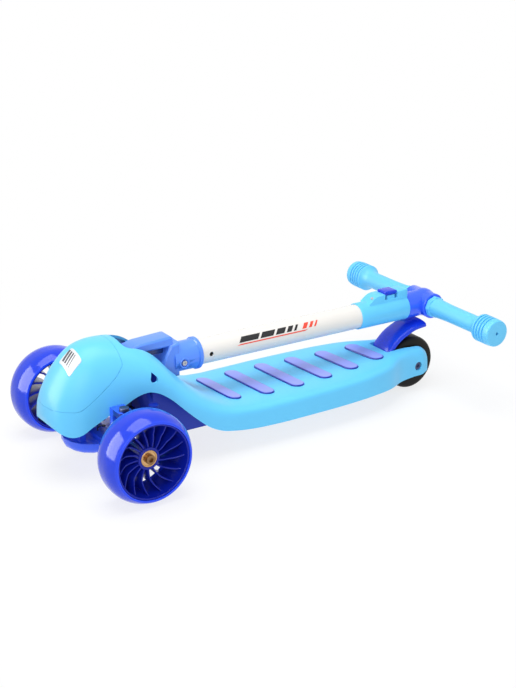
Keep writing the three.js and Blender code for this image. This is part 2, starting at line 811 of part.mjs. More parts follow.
function fin(index) {
  const start = (2 * Math.PI * index) / finCount;
  const sides = [[], []];
  for (let i = 0; i < finRings; i += 1) {
    const share = i / (finRings - 1);
    const radius = bossOuter - linkGap + share * (rimInner + 2 * linkGap - bossOuter);
    const middle = start + finSwirl * share ** finBend;
    const half = finThickness / 2 / radius;
    sides[0].push(new THREE.Vector2(radius, 0).rotateAround(new THREE.Vector2(), middle - half));
    sides[1].unshift(new THREE.Vector2(radius, 0).rotateAround(new THREE.Vector2(), middle + half));
  }
  return prism(new THREE.Shape(sides.flat()), finLow, rimHalfWidth, 'y');
}
const finDish = turned([
  [bearingDiameter / 2, finLow - linkGap], [rimInner + 2 * linkGap, finLow - linkGap],
  [rimInner + 2 * linkGap, finRimHigh], [(rimInner + bossOuter) / 2, finMiddleHigh],
  [bossOuter - linkGap, finBossHigh], [bearingDiameter / 2, finBossHigh],
  [bearingDiameter / 2, finLow - linkGap],
], 'y', hubSteps);
const fins = joined(...Array.from({ length: finCount }, (unused, i) => fin(i))).intersect(finDish);
const bossStop = 2;
const outerSeat = outerBearingFace - bearingWidth;
const innerSeat = bearingWidth - bearingSetIn;
const seatRadius = bearingDiameter / 2 + gap;
const hub = joined(
  turned([
    [seatRadius, -bearingSetIn], [bossOuter, -bearingSetIn], [bossOuter, outerBearingFace],
    [seatRadius, outerBearingFace], [seatRadius, outerSeat - gap], [seatRadius - bossStop, outerSeat - gap],
    [seatRadius - bossStop, innerSeat + gap], [seatRadius, innerSeat + gap], [seatRadius, -bearingSetIn],
  ], 'y', hubSteps),
  ring(treadBore - gap, rimInner, -rimHalfWidth, rimHalfWidth, 'y', wheelSteps),
  fins,
);
const bearing = ring(bearingDiameter / 2, shaftRadius + gap, 0, bearingWidth, 'y', hubSteps);

for (const [name, side] of [['left', 1], ['right', -1]]) {
  const knuckle = new THREE.Group();
  knuckle.position.y = side * kingpinHalfTrack;
  scooter.add(knuckle);
  piece(`knuckle_${name}`, side > 0 ? knuckleBody : mirrored(knuckleBody), royalPlastic, knuckle);
  piece(`axle_bolt_${name}`, side > 0 ? axleBolt : mirrored(axleBolt), steel, knuckle)
    .position.z = frontWheelRadius;
  const wheel = new THREE.Group();
  wheel.position.set(0, side * (trackWidth / 2), frontWheelRadius);
  wheel.rotation.z = side > 0 ? 0 : Math.PI;
  scooter.add(wheel);
  piece(`front_tread_${name}`, tread, clearBlueTread, wheel);
  piece(`front_hub_${name}`, hub, clearBlueHub, wheel);
  piece(`outer_bearing_${name}`, bearing, bronze, wheel).position.y = outerSeat;
  piece(`inner_bearing_${name}`, bearing, steel, wheel).position.y = -bearingSetIn;
}

// Column frame: its x runs up the column from the fold pin, its z is the side that faces forward
// once the column stands up. Folded, it lies back along the deck.
const column = new THREE.Group();
column.position.set(-foldPinSetback, 0, foldPinHeight);
column.rotation.z = Math.PI;
scooter.add(column);
const tubeDrop = stemHeight - foldPinHeight;
const tubeRadius = stemDiameter / 2;
const tubeWall = 1.5;
const socketStart = 60;
const socketFloor = 62;
const socketEnd = 102;
const socketRadius = 20;
const flareRadius = 22;
const flareLength = 6;
const armHalfWidth = 14;
const armTop = 19.5;
const armUnder = 5;
const armNose = 6;
const armBack = 3;
const gussetHalfWidth = 17;
const gussetFront = 41;
const gussetRear = 68;
const gussetLow = -36;
const gussetCorner = 8;
const softEdge = 2.5;
const elbowArm = prism(
  outline([
    [-armBack, armUnder],
    [-armBack, foldHubRadius],
    [armNose, armTop - softEdge, armNose],
    [socketStart, armTop, armNose],
    [socketStart, armUnder],
  ]),
  -armHalfWidth,
  armHalfWidth,
  'y',
  softEdge,
);
const gusset = prism(
  outline([
    [socketStart - armNose, armUnder + softEdge],
    [gussetRear, armUnder + 2 * softEdge],
    [gussetRear, gussetLow - linkGap],
    [gussetFront + gussetCorner, gussetLow, gussetCorner / 2],
    [gussetFront, gussetLow + gussetCorner, gussetCorner / 2],
    [gussetFront + linkGap, tubeDrop, gussetCorner / 2],
  ]),
  -gussetHalfWidth,
  gussetHalfWidth,
  'y',
  softEdge,
);
const socketBody = moved(
  turned([
    [0, socketStart], [socketRadius, socketStart], [socketRadius, socketEnd - flareLength],
    [flareRadius, socketEnd - flareLength + linkGap], [flareRadius, socketEnd - linkGap],
    [flareRadius - linkGap, socketEnd], [0, socketEnd],
  ], 'x'),
  0,
  0,
  tubeDrop,
);
const tubeSeat = moved(rod(tubeRadius + gap, socketFloor, socketEnd + overrun, 'x'), 0, 0, tubeDrop);
const boltSetback = 73;
const boltDrop = tubeDrop - 3;
const socketBoltRadius = 2.5;
const socketBoltHead = 2;
const boltSeat = socketRadius - socketBoltHead;
const socketBoltHole = moved(
  rod(socketBoltRadius + gap, -deckHalfWidth, deckHalfWidth, 'y', pinSteps), boltSetback, 0, boltDrop,
);
const boltSpotFace = moved(
  rod(boltHead + gap, boltSeat, deckHalfWidth, 'y', pinSteps), boltSetback, 0, boltDrop,
);
// The notch lies where the lever's nose meets the hub once the column has turned up.
const noseAngle = 45;
const lockAngle = THREE.MathUtils.degToRad(foldRange - noseAngle);
const notchRadius = 3;
const lockNotch = moved(
  rod(notchRadius, -deckHalfWidth, deckHalfWidth, 'y', pinSteps),
  -foldHubRadius * Math.sin(lockAngle),
  0,
  -foldHubRadius * Math.cos(lockAngle),
);
const webHalf = 5;
const webUnder = 4;
const elbowWeb = block(
  foldHubRadius / 2, -webHalf, -webUnder, gussetFront + gussetCorner, webHalf, armUnder + softEdge,
);
const foldElbow = cut(
  joined(
    rod(foldHubRadius, -armHalfWidth, armHalfWidth, 'y'),
    elbowArm,
    elbowWeb,
    gusset,
    socketBody,
  ),
  rod(foldPinRadius + runningGap, -deckHalfWidth, deckHalfWidth, 'y', pinSteps),
  tubeSeat,
  socketBoltHole,
  boltSpotFace,
  mirrored(boltSpotFace),
  lockNotch,
);
piece('fold_elbow', foldElbow, elbowPlastic, column);

// White column tube: a round hole in its near side, and one below the height button's pin
const collarStart = 367;
const collarEnd = 452;
const tubeEnd = 444;
const holeRadius = 2.8;
const holeSetback = 124;
const buttonSetback = 423;
const buttonPinRadius = 3;
const buttonPinHole = moved(
  rod(buttonPinRadius + gap, tubeDrop, cowlHeight, 'z', pinSteps), buttonSetback, 0, 0,
);
const stemTube = cut(
  moved(ring(tubeRadius, tubeRadius - tubeWall, socketFloor + gap, tubeEnd, 'x'), 0, 0, tubeDrop),
  socketBoltHole,
  moved(rod(holeRadius, -deckHalfWidth, 0, 'y', pinSteps), holeSetback, 0, tubeDrop),
  buttonPinHole,
);
piece('stem_tube', stemTube, whitePaint, column);
const socketBolt = bolt(
  socketBoltRadius, boltHead, socketBoltHead, -boltSeat - gap, boltSeat + gap, 'y',
);
piece('socket_bolt', socketBolt, steel, column).position.set(boltSetback, 0, boltDrop);

// Height collar: a clamp sleeve with a saddle on top that holds the press button
const innerTubeRadius = tubeRadius - tubeWall - runningGap;
const collarRadius = 19.2;
const saddleHalfWidth = 11;
const saddleStart = 384;
const saddleTop = 13.5;
const buttonLength = 22;
const buttonStart = buttonSetback - buttonLength / 2;
const buttonEnd = buttonSetback + buttonLength / 2;
const buttonHalfWidth = 9.5;
const buttonLow = 7;
const buttonHigh = 15;
const buttonTravel = 3;
const saddleFloor = buttonLow - buttonTravel - 2 * gap;
const collar = cut(
  joined(
    moved(
      turned([
        [0, collarStart], [collarRadius - linkGap, collarStart], [collarRadius, collarStart + linkGap],
        [collarRadius, collarEnd], [0, collarEnd],
      ], 'x'),
      0,
      0,
      tubeDrop,
    ),
    cut(
      prism(
        outline([
          [saddleStart, tubeDrop + collarRadius / 2],
          [saddleStart, tubeDrop + collarRadius - linkGap],
          [saddleStart + 2 * armNose, saddleTop - softEdge, armNose],
          [collarEnd, saddleTop, 2],
          [collarEnd, tubeDrop + collarRadius / 2],
        ]),
        -saddleHalfWidth,
        saddleHalfWidth,
        'y',
      ),
      block(
        buttonStart - runningGap, -deckHalfWidth, saddleFloor,
        buttonEnd + runningGap, deckHalfWidth, cowlHeight,
      ),
    ),
  ),
  moved(rod(tubeRadius + gap, collarStart - overrun, tubeEnd + gap, 'x'), 0, 0, tubeDrop),
  moved(rod(innerTubeRadius + gap, tubeEnd, collarEnd + overrun, 'x'), 0, 0, tubeDrop),
  buttonPinHole,
);
piece('height_collar', collar, skyPlastic, column);
const heightButton = joined(
  prism(
    rectangle(buttonStart, buttonLow, buttonEnd, buttonHigh, 2 * linkGap),
    -buttonHalfWidth,
    buttonHalfWidth,
    'y',
    linkGap,
  ),
  moved(
    rod(buttonPinRadius, saddleFloor - gap, buttonLow + linkGap, 'z', pinSteps), buttonSetback, 0, 0,
  ),
);
piece('height_button', heightButton, royalPlastic, column);

// Handlebar: an inner tube that slides in the column, a T-joint, the cross bar and two grips
const barFromPin = barSetback - foldPinSetback;
const innerTubeLength = 258;
const jointRadius = 19;
const jointBallRadius = 20.8;
const crossRadius = 18.5;
const crossHalfWidth = 25;
const barRadius = 11;
const barWall = 1.5;
const barTubeHalf = 150;
const innerTubeEnd = barFromPin - barRadius - wall;
const innerTube = moved(
  ring(
    innerTubeRadius, innerTubeRadius - tubeWall, innerTubeEnd - innerTubeLength, innerTubeEnd, 'x', tubeSteps,
  ),
  0,
  0,
  tubeDrop,
);
piece('inner_tube', innerTube, steel, column);
const crossBore = moved(
  rod(barRadius + gap, -deckHalfWidth, deckHalfWidth, 'y', tubeSteps), barFromPin, 0, tubeDrop,
);
const ballSteps = 6;
const ballProfile = Array.from({ length: ballSteps + 1 }, (unused, i) => {
  const angle = (Math.PI * i) / ballSteps;
  return [jointBallRadius * Math.max(Math.sin(angle), 0), -jointBallRadius * Math.cos(angle)];
});
const barJoint = cut(
  joined(
    moved(rod(jointRadius, collarEnd + gap, barFromPin, 'x'), 0, 0, tubeDrop),
    moved(turned(ballProfile, 'y'), barFromPin, 0, tubeDrop),
    moved(
      turned([
        [0, -crossHalfWidth], [crossRadius - linkGap, -crossHalfWidth],
        [crossRadius, linkGap - crossHalfWidth], [crossRadius, crossHalfWidth - linkGap],
        [crossRadius - linkGap, crossHalfWidth], [0, crossHalfWidth],
      ], 'y'),
      barFromPin,
      0,
      tubeDrop,
    ),
  ),
  crossBore,
  moved(rod(innerTubeRadius + gap, collarEnd, innerTubeEnd + gap, 'x', tubeSteps), 0, 0, tubeDrop),
);
piece('bar_joint', barJoint, royalPlastic, column);
const barTube = ring(barRadius, barRadius - barWall, -barTubeHalf, barTubeHalf, 'y', tubeSteps);
piece('bar_tube', barTube, steel, column).position.set(barFromPin, 0, tubeDrop);

// Grips: an eight-sided flange at the joint, a slim waist and a ribbed knob with a domed end
const gripFlange = 16;
const gripFlangeSides = 8;
const gripFlangeLength = 7.5;
const gripFlare = 14;
const gripSlim = 12.5;
const knobRadius = 21;
const knobLength = 37;
const knobGroove = 2.4;
const knobRings = 4;
const knobPitch = 5.8;
const gripSteps = 16;
const capHole = 1.6;
const gripStart = crossHalfWidth + gap;
const knobStart = barHalfWidth - knobLength;
const gripBore = barRadius + gap;
const gripProfile = [
  [gripBore, gripStart],
  [gripFlare, gripStart],
  [gripFlare, gripStart + gripFlangeLength + linkGap],
  [gripSlim + linkGap, gripStart + 3 * gripFlangeLength],
  [gripSlim, (gripStart + knobStart) / 2],
  [gripSlim + linkGap, knobStart - 2 * flareLength],
  [knobRadius - 2 * softEdge, knobStart],
  [knobRadius, knobStart + softEdge],
];
for (let i = 0; i < knobRings; i += 1) {
  const along = knobStart + softEdge + (i + 1) * knobPitch;
  gripProfile.push([knobRadius, along - linkGap]);
  gripProfile.push([knobRadius - knobGroove, along]);
  gripProfile.push([knobRadius, along + linkGap]);
}
gripProfile.push(
  [knobRadius, barHalfWidth - knobPitch],
  [knobRadius - softEdge, barHalfWidth - softEdge],
  [knobRadius / 2, barHalfWidth - linkGap],
  [capHole, barHalfWidth],
  [capHole, barTubeHalf + gap],
  [gripBore, barTubeHalf + gap],
  [gripBore, gripStart],
);
const grip = joined(
  turned(gripProfile, 'y', gripSteps),
  ring(gripFlange, gripFlare - linkGap, gripStart, gripStart + gripFlangeLength, 'y', gripFlangeSides),
);
// The column frame is turned half round, so the rider's left grip is the mirrored one.
piece('grip_left', mirrored(grip), skyPlastic, column).position.set(barFromPin, 0, tubeDrop);
piece('grip_right', grip, skyPlastic, column).position.set(barFromPin, 0, tubeDrop);

// Release lever: its nose rides on the elbow's hub and drops into the notch when the column stands
const leverHalfWidth = 9;
const leverPadReach = 22;
const leverThickness = 4;
const leverNose = foldHubRadius + runningGap;
const noseX = -foldPinSetback - leverNose * Math.cos(THREE.MathUtils.degToRad(noseAngle));
const noseZ = foldPinHeight - leverNose * Math.sin(THREE.MathUtils.degToRad(noseAngle));
const leverEnd = -leverPinSetback - leverPadReach;
const leverPad = prism(
  outline([
    [-leverPinSetback, leverPinHeight - leverThickness + gap],
    [noseX - gap, noseZ - leverThickness],
    [noseX, noseZ],
    [noseX - leverThickness, noseZ, linkGap],
    [leverEnd, leverPinHeight + leverThickness + linkGap, linkGap],
    [leverEnd, leverPinHeight + linkGap, linkGap],
    [-leverPinSetback - leverThickness, leverPinHeight - linkGap, linkGap],
  ]),
  -leverHalfWidth,
  leverHalfWidth,
  'y',
);
const foldLever = cut(
  joined(
    leverPad,
    moved(
      rod(leverBoss - gap, gap - cheekInner, cheekInner - gap, 'y', pinSteps),
      -leverPinSetback,
      0,
      leverPinHeight,
    ),
  ),
  leverPinBore,
);
piece('fold_lever', foldLever, royalPlastic);

// Rear fender: an arched skin over the wheel, hinged at its front end as the foot brake.
// Shares of the rear wheel's radius, from its axle: place towards the front, and height.
const fenderShares = [
  [1.215, 0.5], [1.145, 0.7], [0.931, 0.955], [0.628, 1.203],
  [0.329, 1.353], [0.03, 1.476], [-0.265, 1.53], [-0.55, 1.556],
];
const fenderSteps = 10;
const fenderRise = 6;
const fenderSkin = 3;
const fenderSectionSteps = 6;
const fenderHalfWidth = forkInner - linkGap;
const fenderCurve = new THREE.CatmullRomCurve3(
  fenderShares.map(([a, b]) => new THREE.Vector3(
    -wheelbase + a * rearWheelRadius, 0, rearWheelRadius + b * rearWheelRadius,
  )),
);

function fenderBody(inset) {
  const rings = [];
  const overshoot = inset > 0 ? linkGap : 0;
  for (let s = 0; s < fenderSteps; s += 1) {
    const t = s / (fenderSteps - 1);
    const [centre, along] = [fenderCurve.getPoint(t), fenderCurve.getTangent(t)];
    const out = new THREE.Vector3(along.z, 0, -along.x);
    if (s === 0) centre.addScaledVector(along, -overshoot);
    if (s === fenderSteps - 1) centre.addScaledVector(along, overshoot);
    const points = [];
    for (let i = 0; i <= fenderSectionSteps; i += 1) {
      const angle = (Math.PI * i) / fenderSectionSteps;
      const y = (fenderHalfWidth - inset) * Math.cos(angle);
      const rise = fenderRise * Math.sin(angle) - fenderRise - inset;
      points.push([centre.x + out.x * rise, y, centre.z + out.z * rise]);
    }
    rings.push(points);
  }
  return lofted(rings);
}
const fenderSpringHalf = 7;
const fenderSpringWire = 0.7;
const fenderSpringTurns = 4;
const fenderNotchHalf = fenderSpringHalf + 2 * fenderSpringWire;
const rearFender = cut(
  joined(
    cut(fenderBody(0), fenderBody(fenderSkin)),
    moved(
      rod(fenderKnuckleRadius, -fenderHalfWidth, fenderHalfWidth, 'y', pinSteps),
      -fenderHingeX,
      0,
      fenderHingeZ,
    ),
  ),
  block(-wheelbase, -fenderNotchHalf, 0, 0, fenderNotchHalf, fenderHingeZ + fenderKnuckleRadius + linkGap),
  moved(
    rod(fenderPinRadius + runningGap, -forkInner, forkInner, 'y', pinSteps),
    -fenderHingeX,
    0,
    fenderHingeZ,
  ),
);
piece('rear_fender', rearFender, royalPlastic);
const fenderPinHalf = forkInner + fenderPinSeat - gap;
piece('fender_pin', rod(fenderPinRadius, -fenderPinHalf, fenderPinHalf, 'y', pinSteps), steel)
  .position.set(-fenderHingeX, 0, fenderHingeZ);
const fenderSpring = coil(
  'fender spring',
  fenderPinRadius + gap + fenderSpringWire,
  fenderSpringWire,
  fenderSpringTurns,
  -fenderSpringHalf,
  fenderSpringHalf,
  'y',
);
piece('fender_spring', fenderSpring, steel).position.set(-fenderHingeX, 0, fenderHingeZ);

// Rear wheel: a rubber tyre on a webbed hub with a bearing at each side, between two spacers
const rearTyreBore = 27;
const rearTyreShoulder = 8;
const rearRimInner = 24;
const rearWebHalf = 8;
const halfRear = rearWheelWidth / 2;
const rearFace = halfRear - gap;
const rearSeat = rearFace - bearingWidth - gap;
const rearTyre = turnedOutline([
  [rearTyreBore, -halfRear],
  [rearWheelRadius, -halfRear, rearTyreShoulder],
  [rearWheelRadius, halfRear, rearTyreShoulder],
  [rearTyreBore, halfRear],
], 'y', roundSteps);
const rearHub = turned([
  [seatRadius, -rearFace], [bossOuter, -rearFace], [bossOuter, -rearWebHalf],
  [rearRimInner, -rearWebHalf], [rearRimInner, -rearFace], [rearTyreBore - gap, -rearFace],
  [rearTyreBore - gap, rearFace], [rearRimInner, rearFace], [rearRimInner, rearWebHalf],
  [bossOuter, rearWebHalf], [bossOuter, rearFace], [seatRadius, rearFace],
  [seatRadius, rearSeat], [seatRadius - bossStop, rearSeat],
  [seatRadius - bossStop, -rearSeat], [seatRadius, -rearSeat], [seatRadius, -rearFace],
], 'y', hubSteps);
const spacerRadius = 7;
const spacer = ring(spacerRadius, shaftRadius + gap, halfRear, forkInner - gap, 'y', pinSteps);
const rearWheel = new THREE.Group();
rearWheel.position.set(-wheelbase, 0, rearWheelRadius);
scooter.add(rearWheel);
piece('rear_tyre', rearTyre, blackRubber, rearWheel);
piece('rear_hub', rearHub, royalPlastic, rearWheel);
piece('rear_bearing_left', bearing, steel, rearWheel).position.y = rearFace - bearingWidth;
piece('rear_bearing_right', bearing, steel, rearWheel).position.y = -rearFace;
piece('rear_spacer_left', spacer, steel, rearWheel);
piece('rear_spacer_right', mirrored(spacer), steel, rearWheel);
const recessFloor = forkHalfWidth - forkRecessDepth + gap;
const rearAxle = bolt(
  shaftRadius, boltHeadRadius, forkRecessDepth - 2 * gap, -recessFloor, recessFloor, 'y',
);
piece('rear_axle_bolt', rearAxle, steel, rearWheel);

// The origin is the middle of the whole thing's footprint.
scooter.position.x = (barSetback + knobRadius - noseReach) / 2;
scooter.updateMatrixWorld(true);

export default scooter;
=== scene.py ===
import json
import math

import bmesh
import bpy
import numpy as np
from mathutils import Matrix, Vector
from mathutils.bvhtree import BVHTree


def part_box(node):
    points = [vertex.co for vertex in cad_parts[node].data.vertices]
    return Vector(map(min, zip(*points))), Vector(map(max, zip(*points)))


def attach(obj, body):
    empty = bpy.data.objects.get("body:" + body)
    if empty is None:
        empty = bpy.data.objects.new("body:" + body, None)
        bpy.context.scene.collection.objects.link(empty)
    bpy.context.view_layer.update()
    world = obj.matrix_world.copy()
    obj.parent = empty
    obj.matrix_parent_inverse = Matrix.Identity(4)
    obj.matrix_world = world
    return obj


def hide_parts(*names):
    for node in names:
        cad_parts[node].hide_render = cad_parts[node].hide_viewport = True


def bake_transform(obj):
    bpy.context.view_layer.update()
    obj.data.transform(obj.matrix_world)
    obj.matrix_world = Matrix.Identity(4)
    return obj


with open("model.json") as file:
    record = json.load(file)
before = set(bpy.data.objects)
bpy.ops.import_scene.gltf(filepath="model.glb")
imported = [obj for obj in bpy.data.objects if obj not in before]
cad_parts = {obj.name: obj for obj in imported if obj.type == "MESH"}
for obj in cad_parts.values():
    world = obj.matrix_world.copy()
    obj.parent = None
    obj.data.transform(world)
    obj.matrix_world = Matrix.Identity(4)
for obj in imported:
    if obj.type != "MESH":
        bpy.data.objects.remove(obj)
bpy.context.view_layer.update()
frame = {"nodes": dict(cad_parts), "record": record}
rides_on = {
    node: body
    for body, members in frame["record"]["behaviour"]["bodies"].items()
    for node in members
}

# Deck and cowl
# One large moulding in sky-blue polypropylene: the fork, the deck and the cowl over the front axle.
# It comes satin out of the mould, a little shinier where hands and shoes polish it.

SKY_BLUE = (0.135, 0.6, 0.98)
WALL = 0.0035
SEAM = 0.0004
DECK_LOW, DECK_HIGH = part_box("deck_cowl")
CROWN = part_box("nose_hood")[1].z
HALF_WIDTH = DECK_HIGH.y
REACH = DECK_HIGH.x - DECK_LOW.x
# Each row of shares: place from tail to nose, half width, foot height, crown height, squareness.
ROW_SHARES = np.array([
    [0, 0.385, 0.165, 0.349, 3.6], [0.013, 0.423, 0.15, 0.378, 4.4], [0.046, 0.449, 0.146, 0.395, 5.4],
    [0.096, 0.551, 0.152, 0.395, 7], [0.146, 0.769, 0.165, 0.384, 8.5], [0.212, 0.91, 0.174, 0.372, 10],
    [0.295, 0.974, 0.174, 0.363, 11], [0.394, 1, 0.174, 0.36, 11], [0.493, 1, 0.174, 0.36, 9.5],
    [0.56, 0.987, 0.183, 0.366, 8.6], [0.601, 0.974, 0.2, 0.39, 7], [0.634, 0.974, 0.227, 0.442, 5.2],
    [0.667, 0.968, 0.285, 0.523, 3.8], [0.695, 0.962, 0.366, 0.616, 3], [0.725, 0.942, 0.465, 0.721, 2.6],
    [0.755, 0.897, 0.567, 0.843, 2.4], [0.783, 0.833, 0.631, 0.924, 2.35], [0.8, 0.795, 0.645, 0.956, 2.3],
    [0.8245, 0.744, 0.622, 0.983, 2.3], [0.854, 0.705, 0.564, 1, 2.3], [0.891, 0.673, 0.503, 1, 2.3],
    [0.924, 0.641, 0.442, 0.965, 2.3], [0.949, 0.596, 0.385, 0.895, 2.3], [0.967, 0.526, 0.372, 0.826, 2.3],
    [0.983, 0.449, 0.395, 0.733, 2.2], [0.995, 0.308, 0.435, 0.64, 2.2], [1, 0.103, 0.488, 0.552, 2],
])


def wired(tree, node, inputs):
    """Each input of a node takes a value or another node's output, or a list of them."""
    for name, value in inputs.items():
        for source in value if isinstance(value, list) else [value]:
            if isinstance(source, bpy.types.NodeSocket):
                tree.links.new(source, node.inputs[name])
            else:
                node.inputs[name].default_value = source
    return node.outputs


def added(tree, kind, inputs=(), **settings):
    """A new node of a tree with its settings and inputs; gives its outputs."""
    node = tree.nodes.new(kind)
    for name, value in settings.items():
        setattr(node, name, value)
    return wired(tree, node, dict(inputs))


def mixed(tree, share, first, second):
    """A colour between two others."""
    colours = {"Factor": share, "A": first, "B": second}
    return added(tree, "ShaderNodeMix", colours, data_type="RGBA")["Result"]


def maths(tree, operation, first, second):
    """The outcome of one sum with two values."""
    return added(tree, "ShaderNodeMath", {0: first, 1: second}, operation=operation)["Value"]


def ranged(tree, value, low, high, start=0, end=1, **settings):
    """A value between start and end, brought to lie between low and high."""
    return added(tree, "ShaderNodeMapRange", {
        "Value": value, "From Min": start, "From Max": end, "To Min": low, "To Max": high,
    }, **settings)["Result"]


def noise(tree, place, scale, **more):
    """Clouds of values between 0 and 1, finer as the scale rises."""
    return added(tree, "ShaderNodeTexNoise", {"Vector": place, "Scale": scale, **more})["Fac"]


def blank(name):
    """A new material with its tree and its shader."""
    material = bpy.data.materials.new(name)
    material.use_nodes = True
    return material, material.node_tree, material.node_tree.nodes["Principled BSDF"]


def moulded(
    name, colour, roughness, speckle=0.04, grain=900, depth=0.00015,
    coat=0.0, scuffs=0.25, shine=0.5, edge=None,
):
    """A moulded finish: faint clouds of colour, uneven gloss, the mould's grain and light scuffs.

    A piece with a "rim" attribute takes the edge colour wherever that attribute is 1; the pieces use that
    colour for painted shade and painted light.
    """
    material, tree, shader = blank(name)
    place = added(tree, "ShaderNodeTexCoord")["Object"]
    clouds = noise(tree, place, 24, Detail=4)
    darker = (*(c * (1 - speckle) for c in colour), 1)
    lighter = (*(min(c * (1 + speckle), 1) for c in colour), 1)
    tint = mixed(tree, clouds, darker, lighter)
    wear = noise(tree, place, 60, Detail=8, Distortion=2.5)
    marks = ranged(tree, wear, 0, scuffs, 0.66, 0.74)
    surface = mixed(tree, marks, tint, (*(c * 0.85 + 0.06 for c in colour), 1))
    if edge:
        rim = added(tree, "ShaderNodeAttribute", attribute_name="rim")["Fac"]
        surface = mixed(tree, rim, surface, (*edge, 1))
    dulled = maths(tree, "ADD", ranged(tree, clouds, roughness * 0.85, roughness * 1.15), marks)
    fine = noise(tree, place, grain)
    relief = added(tree, "ShaderNodeBump", {"Height": fine, "Strength": 0.25, "Distance": depth})["Normal"]
    wired(tree, shader, {
        "Base Color": surface, "Roughness": dulled, "Normal": relief,
        "Specular IOR Level": shine, "Coat Weight": coat, "Coat Roughness": 0.08,
    })
    return material


def in_scene(name, data):
    """A new object of the scene."""
    obj = bpy.data.objects.new(name, data)
    bpy.context.scene.collection.objects.link(obj)
    return obj


def placed(name, points, faces, welded=False):
    """A mesh object where its points say, its faces turned outward; welding merges points that meet."""
    mesh = bpy.data.meshes.new(name)
    mesh.from_pydata([tuple(p) for p in points], [], faces)
    skin = bmesh.new()
    skin.from_mesh(mesh)
    if welded:
        bmesh.ops.remove_doubles(skin, verts=skin.verts, dist=1e-7)
    bmesh.ops.recalc_face_normals(skin, faces=skin.faces)
    skin.to_mesh(mesh)
    skin.free()
    return in_scene(name, mesh)


def bands(count, size, all_round=False):
    """The faces between neighbouring rings of points, each ring closed on itself."""
    faces = []
    for r in range(count if all_round else count - 1):
        a, b = r * size, (r + 1) % count * size
        faces += [(a + i, a + (i + 1) % size, b + (i + 1) % size, b + i) for i in range(size)]
    return faces


def lofted(name, rings, closed_ends=True):
    """A skin through rings of points; the ends are flat, or meet and are welded."""
    rings = np.asarray(rings)
    count, size = rings.shape[:2]
    faces = bands(count, size, not closed_ends)
    if closed_ends:
        faces += [tuple(range(size)), tuple(range((count - 1) * size, count * size))]
    return placed(name, rings.reshape(-1, 3), faces, not closed_ends)


def rounded(corners, steps=8):
    """An outline from corners (a, b, rounding), each drawn as a curve where a rounding is given."""
    points = []
    for i, (a, b, rounding) in enumerate(corners):
        corner = np.array([a, b])
        if rounding == 0:
            points.append(corner)
            continue
        before, after = np.array(corners[i - 1][:2]), np.array(corners[(i + 1) % len(corners)][:2])
        start = corner + (before - corner) * rounding / np.linalg.norm(before - corner)
        end = corner + (after - corner) * rounding / np.linalg.norm(after - corner)
        for t in np.linspace(0, 1, steps):
            points.append((1 - t) ** 2 * start + 2 * t * (1 - t) * corner + t ** 2 * end)
    return points


def box_outline(a0, b0, a1, b1, rounding=0.0):
    return rounded([(a0, b0, rounding), (a1, b0, rounding), (a1, b1, rounding), (a0, b1, rounding)])


def prism(name, shape, low, high, axis):
    """A solid of one outline, drawn in (x, y), (x, z) or (y, z), along the axis that is left over."""
    rings = [[np.insert(point, "xyz".index(axis), level) for point in shape] for level in (low, high)]
    return lofted(name, rings)


def circle(a, b, radius, steps=32):
    turns = np.linspace(0, 2 * math.pi, steps, endpoint=False)
    return [np.array([a + radius * math.cos(t), b + radius * math.sin(t)]) for t in turns]


def applied(obj):
    """What the modifiers make becomes the object's own plain mesh."""
    graph = bpy.context.evaluated_depsgraph_get()
    mesh = bpy.data.meshes.new_from_object(obj.evaluated_get(graph), depsgraph=graph)
    obj.modifiers.clear()
    obj.data = mesh
    return obj


def carved(obj, *tools, operation="DIFFERENCE"):
    """The object cut by, joined with or kept inside each tool, which is used up."""
    for tool in tools:
        cut = obj.modifiers.new("cut", "BOOLEAN")
        cut.solver = "MANIFOLD"
        cut.operation = operation
        cut.object = tool
        applied(obj)
        bpy.data.objects.remove(tool)
    return obj


def joined(obj, *tools):
    return carved(obj, *tools, operation="UNION")


CREASE = 32


def finished(obj, material, slot, *nodes, body=None, crease=CREASE, bends=None):
    """Smooth between its creases, in its real finish, riding with the node that it stands for.

    Given bends (body, body, start, end), the piece is only baked where it stands and rides with no body; it
    does not bend.
    """
    if material:
        obj.data.materials.clear()
        obj.data.materials.append(material)
    for face in obj.data.polygons:
        face.use_smooth = True
    obj.data.set_sharp_from_angle(angle=math.radians(crease))
    if bends:
        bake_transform(obj)
    else:
        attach(obj, body or rides_on[nodes[0]])
    if nodes:
        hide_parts(*nodes)
    return obj


def through(table, stations, places):
    """A smooth curve through the rows of a table: its values and its directions at any places."""
    slopes = np.gradient(table, stations, axis=0)
    i = np.clip(np.searchsorted(stations, places) - 1, 0, len(stations) - 2)
    step = (stations[i + 1] - stations[i])[:, None]
    t = (places - stations[i])[:, None] / step
    values = (
        (2 * t ** 3 - 3 * t ** 2 + 1) * table[i] + (t ** 3 - 2 * t ** 2 + t) * step * slopes[i]
        + (3 * t ** 2 - 2 * t ** 3) * table[i + 1] + (t ** 3 - t ** 2) * step * slopes[i + 1]
    )
    return values, slopes[i] * (1 - t) + slopes[i + 1] * t


def rows_at(places):
    return through(ROW_SHARES, ROW_SHARES[:, 0], np.asarray(places))[0]


def moulding(name, growth=0.0, drop=0.0, first=0.0, last=1.0, stations=150, steps=44, lift=0.0):
    """The moulding's closed form, grown outward by a distance; a hollow is let down, ribs lifted."""
    angles = np.linspace(0, math.pi, steps + 1)
    across = np.cos(angles)
    up = np.clip(np.sin(angles), 0, 1)
    rings = []
    for place, half, foot, crown, square in rows_at(np.linspace(first, last, stations)):
        x = DECK_LOW.x + place * REACH
        width = half * HALF_WIDTH + growth
        low, high = foot * CROWN + lift, crown * CROWN + growth
        y = width * np.sign(across) * np.abs(across) ** (2 / square)
        z = low + (high - low) * up ** (2 / square)
        ring = [(x, b, c) for b, c in zip(y, z)]
        if drop:
            ring += [(x, -width, low - drop), (x, width, low - drop)]
        rings.append(ring)
    return lofted(name, rings)


